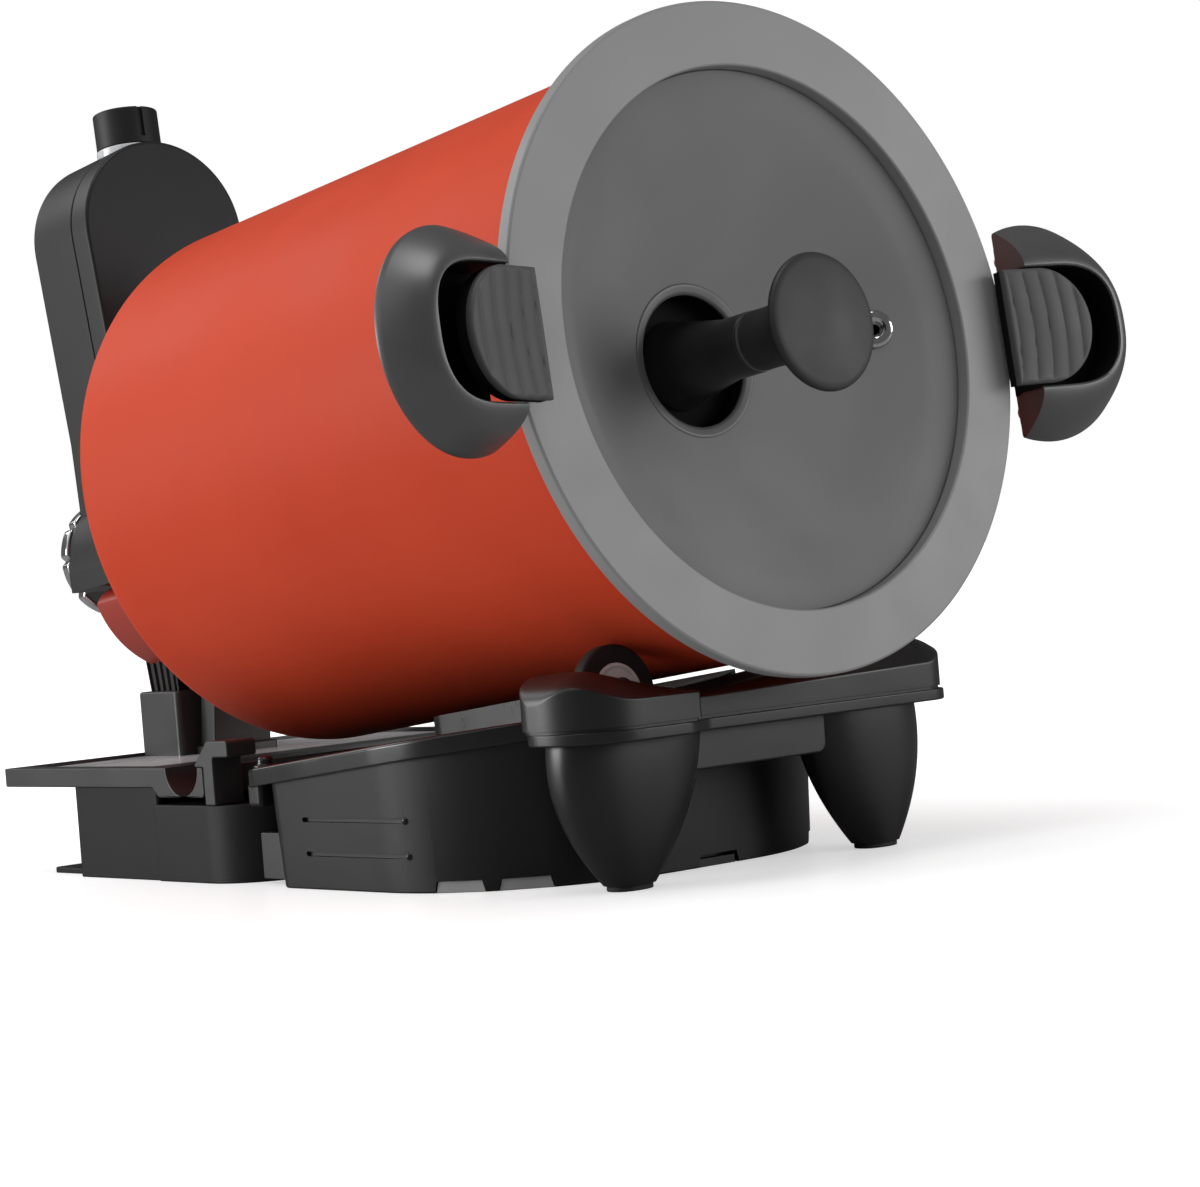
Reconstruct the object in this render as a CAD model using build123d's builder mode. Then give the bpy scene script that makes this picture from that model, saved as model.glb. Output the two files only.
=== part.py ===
# Automatic stir fry cooker: a tilted cooking drum, turned from behind by a motor tower,
# that runs on two front rollers above a heater base. Lengths in millimetres, angles in degrees.
# The origin is on the ground under the middle of the heater base. +X right, +Y to the rear, +Z up.

from build123d import *
import math
import os

os.makedirs("parts", exist_ok=True)

# Clearances and cuts
overrun = 4.0
running_clearance = 0.05
body_gap = 0.3
seat_gap = 0.1

# Drum: the rim's front centre sets its place, and it leans with its mouth up
drum_tilt = 5.8
rim_height = 188.7
rim_reach = 121.0
drum_radius = 111.0
drum_depth = 295.0
drum_wall = 3.0
drum_corner = 6.0
drum_lip_radius = 118.0
drum_lip_thickness = 3.0

# Rim ring on the drum's mouth, with the ledge that the lid rests on
rim_radius = 121.0
rim_thickness = 6.0
rim_bore = 97.5
rim_edge = 0.8
ledge_bore = 91.0
ledge_depth = 7.2
plug_depth = 12.0

# Stirring fins inside the drum
fin_count = 3
fin_height = 16.0
fin_thickness = 2.5
fin_length = 200.0
fin_setback = 30.0

# Drive socket on the drum and its coupling
socket_radius = 20.0
socket_length = 12.0
coupling_radius = 11.5
coupling_flange_radius = 18.0
coupling_flange = 4.5
coupling_tip_gap = 1.0
shaft_radius = 5.0

# Hub housing with two bearings
hub_radius = 26.0
bearing_radius = 12.0
bearing_width = 8.0
hub_bore = 9.0

# Lid: a dished disc with a knob on the drum's axis
lid_recess = 4.8
lid_thickness = 1.5
lid_dish_radius = 90.0
lid_dish_depth = 38.0
lid_hole_radius = 27.0
gasket_inner = 91.5
gasket_outer = 96.5
cup_depth = 12.0
cup_wall = 2.0
cup_flange_radius = 32.0
cup_flange = 2.0
stem_base_radius = 21.0
stem_bell_radius = 15.0
stem_radius = 11.2
stem_top = 10.5
stem_bell_level = 40.0
stem_straight_level = 25.0
groove_radius = 10.0
groove_width = 1.6
head_neck_radius = 10.9
head_neck_level = 0.5
head_flare_radius = 15.0
head_flare_level = 13.5
head_radius = 25.2
head_under_level = 20.0
head_edge_level = 23.5
head_crown = 29.0
vent_place = 72.5
vent_rise = 6.0
vent_hole_radius = 3.2
vent_radius = 6.0
vent_bore = 2.0
vent_flange = 1.2
vent_shank = 3.0

# Ear handles, each in a plane that leans forward from the rim
handle_lean = 13.0
handle_root = 114.0
handle_root_front = 9.3
handle_centre = 25.0
handle_radius = 39.6
handle_chord = 11.9
handle_opening_radius = 26.5
handle_opening_half = 23.0
handle_front = 2.0
handle_thickness = 18.0
handle_floor = 2.5
handle_front_edge = 11.0
handle_inner_edge = 2.0
handle_back_edge = 3.0

# Ribbed thumb pads in the handles
pad_half = 22.0
pad_straight = 16.0
pad_thickness = 7.0
pad_edge = 1.5
pad_groove_count = 4
pad_groove_pitch = 6.4
pad_groove_first = 6.6
pad_groove_width = 1.8
pad_groove_depth = 1.0
pad_boss_start = 12.0
pad_boss_length = 16.0
pad_boss_half = 9.0

# Handle brackets and screws
bracket_thickness = 3.0
bracket_inset = 10.0
bracket_reach = 30.0
bracket_half = 12.0
bracket_bar_start = 14.0
bracket_bar_width = 9.0
bracket_bar_half = 34.0
handle_screw_place = 29.5
handle_screw_radius = 1.9
handle_screw_head = 3.6
handle_screw_head_height = 2.0
handle_screw_bite = 9.0

# Front rollers
roller_radius = 17.4
roller_width = 6.0
roller_spread = 55.0
roller_setback = 52.0
roller_hub_radius = 10.7
roller_hub_lip = 0.3
axle_radius = 3.0
yoke_wall = 2.0
yoke_side_gap = 0.6
yoke_half = 5.2
roller_well_gap = 1.3
tread_edge = 1.6

# Front beam, its feet and the roller covers
beam_level = 52.6
beam_length = 190.0
beam_depth = 35.0
beam_thickness = 6.0
beam_corner = 14.0
beam_bend = 9.0
bulge_depth = 7.0
bulge_run = 14.0
apron_length = 76.0
apron_depth = 20.0
apron_height = 12.5
foot_top_spread = 55.0
foot_bottom_spread = 61.5
foot_half_width = 27.5
foot_half_depth = 15.0
foot_height_shares = (0.0, 0.22, 0.58, 1.0)
foot_width_shares = (0.35, 0.61, 0.89, 1.0)
foot_depth_shares = (0.52, 0.73, 0.92, 1.0)
foot_pad_thickness = 2.0
foot_pad_inset = 1.0
pad_setback = 1.5
cover_split = 41.0
cover_lead = 1.5
cover_band = 9.8
cover_bridge = 6.4
cover_corner = 12.0
hump_rise = 9.2
hump_near = 78.0
hump_far = 86.0
hump_front_slope = 9.0
pocket_half = 18.0
pocket_front = 9.0

# Heater base
heater_width = 192.0
heater_front_reach = 69.0
heater_rear_reach = 81.0
heater_front_corner = 78.0
heater_rear_corner = 10.0
heater_wall = 3.0
cover_drop = 10.0
cover_thickness = 7.0
cover_overhang = 2.5
cover_tail = 11.0
cover_lug_width = 10.0
cover_lug_length = 9.0
cover_lug_drop = 8.0
cover_lug_gap = 1.5
window_width = 56.0
window_length = 100.0
notch_width = 20.0
notch_height = 4.5
notch_depth = 8.0
notch_turns = (26.0, 45.0, 88.0)
rib_length = 62.0
rib_width = 1.6
rib_depth = 0.8
rib_levels = (12.8, 25.8)
rib_rear = 24.0
base_plate_thickness = 3.0
screw_recess = 1.5
boss_radius = 5.0
boss_sink = 1.0
boss_top = 26.0
boss_places = (16.0, 60.0)
screw_radius = 1.6
screw_head_radius = 3.2
screw_head_height = 1.2
screw_length = 8.0
heat_gap = 4.0
plate_width = 68.0
plate_length = 116.0
plate_corner = 12.0
element_radius = 3.3
element_spread = 18.0
element_leg = 66.0
thermostat_radius = 9.0
thermostat_height = 8.0

# Rear base
rear_gap = 17.0
rear_width = 184.0
rear_length = 131.0
rear_height = 38.0
rear_front_height = 31.0
rear_front_length = 67.0
rear_wall = 3.0
rear_foot_length = 34.0
rear_foot_width = 166.0
rear_foot_thickness = 2.5
deck_length = 118.0
deck_thickness = 8.0
deck_border = 8.0
deck_rear_border = 3.5
deck_pocket = 3.0
panel_thickness = 1.5
trough_radius = 11.5
trough_setback = 22.0
trough_wall = 4.0
hook_width = 14.0
hook_reach = 18.0
hook_height = 25.5
hook_back = 7.0
hook_rise_run = 3.5
hook_tip = 6.5
hook_stem = 7.0
hook_trough_gap = 0.5
tie_thickness = 4.0
tie_inset = 8.0
tie_level = 2.0
tie_height = 18.0
board_width = 100.0
board_height = 22.0
board_thickness = 1.6
board_level = 4.0
inlet_inset = 40.0
inlet_width = 24.0
inlet_height = 17.0
inlet_depth = 14.0
inlet_flange = 2.5
inlet_flange_border = 2.5
inlet_recess = 8.0
inlet_recess_border = 3.0
inlet_level = 18.0

# Motor tower behind the drum
tower_setback = 372.0
tower_front_depth = 12.0
tower_frame_thickness = 2.0
tower_rear_depth = 34.0
tower_wall = 3.0
tower_head_radius = 40.2
tower_head_rise = 128.0
tower_waist = 36.0
tower_waist_rise = 40.0
tower_shoulder = 8.0
case_radius = 46.0
case_drop = 22.0
tower_groove = 1.2
tower_front_edge = 1.5
tower_back_edge = 5.0
red_cover_drop = 27.0
red_cover_corner = 14.0
red_cover_depth = 31.0
motor_radius = 26.0
motor_drop = 8.0
motor_length = 63.0
motor_ring_radius = 27.0
motor_ring_length = 7.0
motor_ring_bore = 18.0
post_width = 60.0
post_depth = 32.0
collar_thickness = 3.0
collar_border = 1.5
neck_width = 52.0
neck_depth = 24.0
neck_height = 8.0
neck_rib_depth = 1.2
neck_rib_pitch = 5.0
neck_rib_width = 2.0
brace_width = 40.0
brace_thickness = 11.0
brace_foot_lead = 1.0
brace_hub_share = 0.7
tower_screw_places = ((-26.0, 128.0), (26.0, 128.0), (-24.0, 56.0), (24.0, 56.0))

# Control on top of the tower
knob_setback = 20.5
knob_radius = 14.6
knob_height = 17.8
knob_slot_width = 2.6
knob_slot_depth = 1.6
knob_slot_floor = 4.0
knob_rest_turn = 16.0
knob_edge = 0.8
bezel_radius = 13.8
bezel_rise = 1.2
bezel_sink = 5.0
spindle_radius = 3.0
spindle_grip = 9.0
timer_width = 30.0
timer_depth = 18.0
timer_height = 16.0
timer_top = 24.0

# Places worked out from these sizes
lean = math.radians(drum_tilt)
axis_dir = Vector(0, -math.cos(lean), math.sin(lean))
up_dir = Vector(0, math.sin(lean), math.cos(lean))
side_dir = Vector(1, 0, 0)
mouth = Plane(origin=(0, -rim_reach, rim_height), x_dir=side_dir, z_dir=axis_dir)
section = Plane(origin=mouth.origin, x_dir=side_dir, z_dir=-up_dir)
drum_axis = Axis(mouth.origin, axis_dir)
drum_bore = drum_radius - drum_wall
sides = (("left", -1), ("right", 1))


def place(across, rise, ahead):
    """Point in the drum's own frame: across to the right, rise above the axis, ahead of the rim's face."""
    return mouth.from_local_coords((across, rise, ahead))


def under_drum(drop):
    """Plane parallel to the drum's underside, `drop` below it, with its origin over the base's centre."""
    level = -(drum_radius + drop)
    ahead = (level * math.sin(lean) - rim_reach) / math.cos(lean)
    return Plane(origin=place(0, level, ahead), x_dir=side_dir, z_dir=up_dir)


def save(piece, name):
    """Labels a finished piece and writes it."""
    piece.part.label = name
    export_step(piece.part, f"parts/{name}.step")


def bar(plane, radius, length, mode=Mode.ADD):
    """Round bar that stands on a plane."""
    with BuildSketch(plane) as disc:
        Circle(radius)
    extrude(disc.sketch, amount=length, mode=mode)


def round_edges(piece, radius):
    """Full-circle edges of a piece that have the radius asked for."""
    circles = piece.edges().filter_by(GeomType.CIRCLE)
    return circles.filter_by(lambda edge: math.isclose(edge.radius, radius))


def block(plane, centre, width, depth, height, mode=Mode.ADD):
    """Rectangular block that stands on a plane, about a centre point in it."""
    with BuildSketch(plane) as plan:
        with Locations(centre):
            Rectangle(width, depth)
    extrude(plan.sketch, amount=height, mode=mode)


# Drum with its flared lip and closed rear end
with BuildPart() as drum:
    bar(mouth.offset(-drum_depth), drum_radius, drum_depth - rim_thickness)
    fillet(drum.edges().filter_by(GeomType.CIRCLE).sort_by(drum_axis)[0], drum_corner)
    bar(mouth.offset(-rim_thickness), drum_lip_radius, -drum_lip_thickness)
    bar(mouth.offset(drum_wall - drum_depth), drum_bore, drum_depth, mode=Mode.SUBTRACT)
save(drum, "drum")

with BuildPart() as stir_fins:
    with BuildSketch(mouth.offset(drum_wall + fin_setback - drum_depth)):
        with PolarLocations(drum_bore - fin_height / 2, fin_count, start_angle=90):
            Rectangle(fin_height, fin_thickness)
        Circle(drum_bore - seat_gap, mode=Mode.INTERSECT)
    extrude(amount=fin_length)
save(stir_fins, "stir_fins")

with BuildPart() as drum_socket:
    bar(mouth.offset(-drum_depth), socket_radius, -socket_length)
    with BuildSketch(mouth.offset(-drum_depth)):
        RegularPolygon(coupling_radius + body_gap, 6)
    extrude(amount=-socket_length, mode=Mode.SUBTRACT)
save(drum_socket, "drum_socket")

# Rim ring: a flat face, a plug inside the drum and the lid's ledge
with BuildPart() as rim_ring:
    bar(mouth, rim_radius, -rim_thickness)
    bar(mouth.offset(-rim_thickness), drum_bore - seat_gap, rim_thickness - plug_depth)
    bar(mouth, rim_bore, -ledge_depth, mode=Mode.SUBTRACT)
    bar(mouth, ledge_bore, -plug_depth, mode=Mode.SUBTRACT)
    fillet(round_edges(rim_ring, rim_radius), rim_edge)
save(rim_ring, "rim_ring")

# Handles: a round ear with a D-shaped opening, the ribbed pad in it and the bracket behind
tip_lean = math.radians(handle_lean)


def handle_plane(sign):
    """Plane of a handle's pad face: x outward from the rim, z to the front."""
    outward = side_dir * (sign * math.cos(tip_lean)) + axis_dir * math.sin(tip_lean)
    facing = side_dir * (-sign * math.sin(tip_lean)) + axis_dir * math.cos(tip_lean)
    return Plane(origin=place(sign * handle_root, 0, handle_root_front), x_dir=outward, z_dir=facing)


handle_back = handle_front + handle_thickness
screw_points = [
    (bracket_bar_start + bracket_bar_width / 2, row * handle_screw_place) for row in (-1, 1)
]

for side, sign in sides:
    face = handle_plane(sign)

    with BuildPart() as handle:
        with BuildSketch(face.offset(-handle_back)):
            with Locations((handle_centre, 0)):
                Circle(handle_radius)
            with Locations((handle_chord - handle_radius / 2, 0)):
                Rectangle(handle_radius, 2 * handle_radius, mode=Mode.SUBTRACT)
        extrude(amount=handle_thickness)
        with BuildSketch(face.offset(handle_floor - handle_back)):
            with Locations((handle_centre, 0)):
                Circle(handle_opening_radius)
            with Locations((handle_centre / 2, 0)):
                Rectangle(handle_centre, 2 * handle_opening_radius)
            Rectangle(2 * (handle_centre + handle_radius), 2 * handle_opening_half, mode=Mode.INTERSECT)
        extrude(amount=handle_thickness, mode=Mode.SUBTRACT)
        outer_edges = handle.edges().filter_by(GeomType.CIRCLE)
        outer_edges = outer_edges.filter_by(lambda e: e.radius > handle_radius - handle_inner_edge)
        outer_edges = outer_edges.sort_by(Axis(face.origin, face.z_dir))
        fillet(outer_edges[-1], handle_front_edge)
        back_edges = handle.edges().filter_by(GeomType.CIRCLE)
        back_edges = back_edges.filter_by(lambda e: e.radius > handle_radius - handle_inner_edge)
        fillet(back_edges.sort_by(Axis(face.origin, face.z_dir))[0], handle_back_edge)
        for point in screw_points:
            with BuildSketch(face.offset(-handle_back)):
                with Locations(point):
                    Circle(handle_screw_radius + seat_gap)
            extrude(amount=handle_screw_bite + seat_gap, mode=Mode.SUBTRACT)
    save(handle, f"handle_{side}")

    with BuildPart() as thumb_pad:
        with BuildSketch(face.offset(-pad_thickness)):
            with Locations((pad_straight / 2, 0)):
                Rectangle(pad_straight, 2 * pad_half)
            with Locations((pad_straight, 0)):
                Circle(pad_half)
            with Locations((-pad_half / 2, 0)):
                Rectangle(pad_half, 2 * pad_half, mode=Mode.SUBTRACT)
        extrude(amount=pad_thickness)
        fillet(thumb_pad.faces().sort_by(Axis(face.origin, face.z_dir))[-1].edges(), pad_edge)
        for step in range(pad_groove_count):
            spot = (pad_groove_first + step * pad_groove_pitch, 0)
            block(face, spot, pad_groove_width, 2 * pad_half, -pad_groove_depth, mode=Mode.SUBTRACT)
        boss_spot = (pad_boss_start + pad_boss_length / 2, 0)
        block(face.offset(-pad_thickness), boss_spot, pad_boss_length, 2 * pad_boss_half,
              pad_thickness + handle_floor - handle_back)
    save(thumb_pad, f"thumb_pad_{side}")

    with BuildPart() as handle_bracket:
        arm_spot = ((bracket_reach - bracket_inset) / 2, 0)
        block(face.offset(-handle_back), arm_spot, bracket_reach + bracket_inset, 2 * bracket_half,
              -bracket_thickness)
        bar_spot = (bracket_bar_start + bracket_bar_width / 2, 0)
        block(face.offset(-handle_back), bar_spot, bracket_bar_width, 2 * bracket_bar_half,
              -bracket_thickness)
        for point in screw_points:
            with BuildSketch(face.offset(-handle_back)):
                with Locations(point):
                    Circle(handle_screw_radius + seat_gap)
            extrude(amount=-bracket_thickness, mode=Mode.SUBTRACT)
        bar(mouth.offset(-drum_depth), drum_radius + seat_gap, drum_depth, mode=Mode.SUBTRACT)
    save(handle_bracket, f"handle_bracket_{side}")

with BuildPart() as handle_screws:
    for side, sign in sides:
        seat = handle_plane(sign).offset(-handle_back - bracket_thickness)
        for point in screw_points:
            with BuildSketch(seat):
                with Locations(point):
                    Circle(handle_screw_radius)
            extrude(amount=bracket_thickness + handle_screw_bite)
            with BuildSketch(seat):
                with Locations(point):
                    Circle(handle_screw_head)
            extrude(amount=-handle_screw_head_height)
save(handle_screws, "handle_screws")

# Lid: spherical dish, its gasket, the knob in its cup and the vent eyelet
dish_radius = (lid_dish_radius**2 + lid_dish_depth**2) / (2 * lid_dish_depth)
lid_radius = rim_bore - body_gap


def dish_level(radius):
    """How far ahead of the rim's face the dish's front surface lies at a radius from the axis."""
    return dish_radius - math.sqrt(dish_radius**2 - radius**2) - lid_recess - lid_dish_depth


dish_middle = (lid_hole_radius + lid_dish_radius) / 2
hole_level = dish_level(lid_hole_radius)
lid_back = lid_recess + lid_thickness
vent_reach = math.hypot(vent_place, vent_rise)
vent_slope = math.asin(vent_reach / dish_radius)
vent_outward = (side_dir * vent_place + up_dir * vent_rise) / vent_reach
vent_dir = axis_dir * math.cos(vent_slope) - vent_outward * math.sin(vent_slope)
vent_plane = Plane(origin=place(vent_place, vent_rise, dish_level(vent_reach)), z_dir=vent_dir)

with BuildPart() as lid_disc:
    with BuildSketch(section):
        with BuildLine():
            Line((lid_radius, -lid_back), (lid_radius, -lid_recess))
            Line((lid_radius, -lid_recess), (lid_dish_radius, -lid_recess))
            ThreePointArc((lid_dish_radius, -lid_recess), (dish_middle, dish_level(dish_middle)),
                          (lid_hole_radius, hole_level))
            Line((lid_hole_radius, hole_level), (lid_hole_radius, hole_level - lid_thickness))
            ThreePointArc((lid_hole_radius, hole_level - lid_thickness),
                          (dish_middle, dish_level(dish_middle) - lid_thickness),
                          (lid_dish_radius, -lid_back))
            Line((lid_dish_radius, -lid_back), (lid_radius, -lid_back))
        make_face()
    revolve(axis=drum_axis)
    bar(vent_plane.offset(-overrun), vent_hole_radius, 2 * overrun, mode=Mode.SUBTRACT)
save(lid_disc, "lid_disc")

with BuildPart() as lid_gasket:
    with BuildSketch(mouth.offset(-lid_back)):
        Circle(gasket_outer)
        Circle(gasket_inner, mode=Mode.SUBTRACT)
    extrude(amount=lid_back + body_gap - ledge_depth)
save(lid_gasket, "lid_gasket")

cup_floor = hole_level - cup_depth
cup_outer = lid_hole_radius - seat_gap
flange_level = hole_level - lid_thickness - seat_gap

with BuildPart() as knob_cup:
    bar(mouth.offset(cup_floor), cup_outer, cup_depth)
    bar(mouth.offset(flange_level), cup_flange_radius, -cup_flange)
    bar(mouth.offset(cup_floor + cup_wall), cup_outer - cup_wall, cup_depth, mode=Mode.SUBTRACT)
save(knob_cup, "knob_cup")

stem_foot = cup_floor + cup_wall
with BuildPart() as knob_stem:
    with BuildSketch(section):
        with BuildLine():
            Line((0, stem_foot), (stem_base_radius, stem_foot))
            ThreePointArc((stem_base_radius, stem_foot), (stem_bell_radius, -stem_bell_level),
                          (stem_radius, -stem_straight_level))
            Polyline((stem_radius, -stem_straight_level), (stem_radius, -stem_top),
                     (groove_radius, -stem_top), (groove_radius, groove_width - stem_top),
                     (0, groove_width - stem_top))
            Line((0, groove_width - stem_top), (0, stem_foot))
        make_face()
    revolve(axis=drum_axis)
save(knob_stem, "knob_stem")

head_foot = groove_width - stem_top
crown_rise = head_crown - head_edge_level
crown_curve = (head_radius**2 + crown_rise**2) / (2 * crown_rise)
crown_middle = head_crown - crown_curve + math.sqrt(crown_curve**2 - (head_radius / 2) ** 2)
with BuildPart() as knob_head:
    with BuildSketch(section):
        with BuildLine():
            Polyline((0, head_foot), (head_neck_radius, head_foot), (head_neck_radius, -head_neck_level))
            ThreePointArc((head_neck_radius, -head_neck_level), (head_flare_radius, head_flare_level),
                          (head_radius, head_under_level))
            Line((head_radius, head_under_level), (head_radius, head_edge_level))
            ThreePointArc((head_radius, head_edge_level), (head_radius / 2, crown_middle), (0, head_crown))
            Line((0, head_crown), (0, head_foot))
        make_face()
    revolve(axis=drum_axis)
save(knob_head, "knob_head")

vent_seat = seat_gap + dish_radius - math.sqrt(dish_radius**2 - vent_radius**2)
with BuildPart() as vent_eyelet:
    bar(vent_plane.offset(vent_seat), vent_radius, vent_flange)
    bar(vent_plane.offset(vent_seat), vent_hole_radius - seat_gap, -vent_shank)
    bar(vent_plane.offset(-overrun), vent_bore, 2 * overrun, mode=Mode.SUBTRACT)
    eyelet_rims = round_edges(vent_eyelet, vent_radius).sort_by(Axis(vent_plane.origin, vent_dir))
    fillet(eyelet_rims[-1], vent_flange / 2)
save(vent_eyelet, "vent_eyelet")

# Drive: coupling and shaft in the hub housing, gear motor behind the tower's frame
coupling_back = drum_depth + socket_length + body_gap
hub_front = coupling_back + coupling_flange + body_gap
frame_front = tower_setback + tower_front_depth
frame_back = frame_front + tower_frame_thickness
tower_back = frame_back + tower_rear_depth
motor_back = frame_back + motor_length

with BuildPart() as drive_coupling:
    bar(mouth.offset(-coupling_back), coupling_flange_radius, -coupling_flange)
    with BuildSketch(mouth.offset(-coupling_back)):
        RegularPolygon(coupling_radius, 6)
    extrude(amount=socket_length + body_gap - coupling_tip_gap)
    bar(mouth.offset(-hub_front), shaft_radius + seat_gap, hub_front - drum_depth - coupling_tip_gap,
        mode=Mode.SUBTRACT)
save(drive_coupling, "drive_coupling")

with BuildPart() as drive_shaft:
    bar(mouth.offset(-motor_back), shaft_radius, motor_back - drum_depth - coupling_tip_gap)
save(drive_shaft, "drive_shaft")

with BuildPart() as hub_housing:
    bar(mouth.offset(-frame_front), hub_radius, frame_front - hub_front)
    bar(mouth.offset(-frame_front), hub_bore, frame_front, mode=Mode.SUBTRACT)
    bar(mouth.offset(-hub_front), bearing_radius + seat_gap, -bearing_width, mode=Mode.SUBTRACT)
    bar(mouth.offset(-frame_front), bearing_radius + seat_gap, bearing_width, mode=Mode.SUBTRACT)
    fillet(round_edges(hub_housing, hub_radius).sort_by(drum_axis)[-1], tower_front_edge)
save(hub_housing, "hub_housing")

with BuildPart() as hub_bearings:
    for start in (-hub_front, bearing_width - frame_front):
        with BuildSketch(mouth.offset(start)):
            Circle(bearing_radius)
            Circle(shaft_radius + running_clearance, mode=Mode.SUBTRACT)
        extrude(amount=-bearing_width)
save(hub_bearings, "hub_bearings")

motor_face = Plane(origin=place(0, -motor_drop, -frame_back), x_dir=side_dir, z_dir=axis_dir)

with BuildPart() as drive_motor:
    bar(motor_face, motor_radius, -motor_length)
    bar(mouth.offset(-frame_back), shaft_radius + running_clearance, -motor_length, mode=Mode.SUBTRACT)
save(drive_motor, "drive_motor")

with BuildPart() as motor_ring:
    bar(motor_face.offset(-motor_length), motor_ring_radius, -motor_ring_length)
    fillet(motor_ring.edges(), motor_ring_length / 4)
    bar(motor_face.offset(-motor_length), motor_ring_bore, -motor_ring_length, mode=Mode.SUBTRACT)
save(motor_ring, "motor_ring")


# Tower covers: a rounded head, a waist and a round lower case
def tower_outline(inset):
    """Adds the tower's outline, drawn in by an inset, to the sketch that is open."""
    head = tower_head_radius - inset
    waist = tower_waist - inset
    case = case_radius - inset
    shoulder = tower_shoulder + inset
    shoulder_rise = math.sqrt((case + shoulder) ** 2 - (waist + shoulder) ** 2) - case_drop
    meet = math.atan2(shoulder_rise + case_drop, waist + shoulder)
    bend = (waist + shoulder - shoulder * math.cos(meet / 2), shoulder_rise - shoulder * math.sin(meet / 2))
    case_end = (case * math.cos(meet), case * math.sin(meet) - case_drop)
    taper = tower_waist_rise - tower_head_rise
    touch = math.atan2(taper, waist) + math.acos(head / math.hypot(waist, taper))
    head_end = (head * math.cos(touch), head * math.sin(touch) + tower_head_rise)
    with BuildLine() as outline:
        ThreePointArc((-case_end[0], case_end[1]), (0, -case_drop - case), case_end)
        ThreePointArc(head_end, (0, tower_head_rise + head), (-head_end[0], head_end[1]))
        for side, sign in sides:
            ThreePointArc((sign * case_end[0], case_end[1]), (sign * bend[0], bend[1]),
                          (sign * waist, shoulder_rise))
            Polyline((sign * waist, shoulder_rise), (sign * waist, tower_waist_rise),
                     (sign * head_end[0], head_end[1]))
    make_face(outline.edges())


def red_outline(inset, grow):
    """Keeps only the lower part of the open sketch, under the red cover's rounded shoulders."""
    half = case_radius - inset
    with Locations((0, grow - red_cover_drop - case_radius)):
        RectangleRounded(2 * half, 2 * case_radius, red_cover_corner, mode=Mode.INTERSECT)


def above_red(raised=0):
    """Removes what lies under the red cover's top edge, or a raised line over it, from the open sketch."""
    with Locations((0, raised + seat_gap - red_cover_drop - case_radius)):
        Rectangle(2 * case_radius + overrun, 2 * case_radius, mode=Mode.SUBTRACT)


tower_face = mouth.offset(-tower_setback)
frame_face = mouth.offset(-frame_front)
rear_face = mouth.offset(-frame_back)
head_axis_ahead = -tower_setback - knob_setback
knob_plane = Plane(origin=place(0, 0, head_axis_ahead), x_dir=side_dir, z_dir=up_dir)
head_top = tower_head_rise + tower_head_radius
back_axis = Axis(mouth.origin, -axis_dir)

with BuildPart() as tower_front_cover:
    with BuildSketch(tower_face):
        tower_outline(0)
        above_red()
    extrude(amount=-tower_front_depth)
    front_edges = tower_front_cover.faces().sort_by(drum_axis)[-1].edges()
    fillet(front_edges.sort_by(Axis(mouth.origin, up_dir))[1:], tower_front_edge)
    with BuildSketch(tower_face.offset(-tower_wall)):
        tower_outline(tower_wall)
        above_red()
    extrude(amount=-tower_front_depth, mode=Mode.SUBTRACT)
    bar(tower_face, hub_radius + seat_gap, -tower_front_depth, mode=Mode.SUBTRACT)
save(tower_front_cover, "tower_front_cover")

with BuildPart() as tower_frame:
    with BuildSketch(frame_face):
        tower_outline(tower_groove)
        above_red()
        with BuildSketch(mode=Mode.ADD):
            tower_outline(tower_wall + seat_gap)
    extrude(amount=-tower_frame_thickness)
    bar(frame_face, hub_bore, -tower_frame_thickness, mode=Mode.SUBTRACT)
    for point in tower_screw_places:
        with BuildSketch(frame_face):
            with Locations(point):
                Circle(screw_radius + seat_gap)
        extrude(amount=-tower_frame_thickness, mode=Mode.SUBTRACT)
save(tower_frame, "tower_frame")

with BuildPart() as tower_rear_cover:
    with BuildSketch(rear_face):
        tower_outline(0)
        above_red()
    extrude(amount=-tower_rear_depth)
    back_edges = tower_rear_cover.faces().sort_by(back_axis)[-1].edges()
    fillet(back_edges.sort_by(Axis(mouth.origin, up_dir))[1:], tower_back_edge)
    with BuildSketch(rear_face):
        tower_outline(tower_wall)
        above_red(tower_wall)
    extrude(amount=tower_wall - tower_rear_depth, mode=Mode.SUBTRACT)
    for point in tower_screw_places:
        with BuildSketch(rear_face):
            with Locations(point):
                Circle(boss_radius)
        extrude(amount=-tower_rear_depth)
        with BuildSketch(rear_face):
            with Locations(point):
                Circle(screw_radius + seat_gap)
        extrude(amount=-tower_rear_depth, mode=Mode.SUBTRACT)
    bar(motor_face, motor_radius + seat_gap, -tower_rear_depth, mode=Mode.SUBTRACT)
    bar(knob_plane.offset(tower_head_rise), spindle_radius + body_gap, tower_head_radius + overrun,
        mode=Mode.SUBTRACT)
save(tower_rear_cover, "tower_rear_cover")

with BuildPart() as tower_lower_cover:
    with BuildSketch(tower_face):
        tower_outline(0)
        red_outline(0, 0)
    extrude(amount=-red_cover_depth)
    fillet(tower_lower_cover.faces().sort_by(drum_axis)[-1].edges(), tower_front_edge)
    with BuildSketch(tower_face.offset(-tower_wall)):
        tower_outline(tower_wall)
        red_outline(tower_wall, overrun)
    extrude(amount=2 * tower_wall - red_cover_depth, mode=Mode.SUBTRACT)
    bar(tower_face, hub_radius + seat_gap, -tower_wall, mode=Mode.SUBTRACT)
    bar(motor_face, motor_radius + seat_gap, -tower_rear_depth, mode=Mode.SUBTRACT)
save(tower_lower_cover, "tower_lower_cover")

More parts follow.
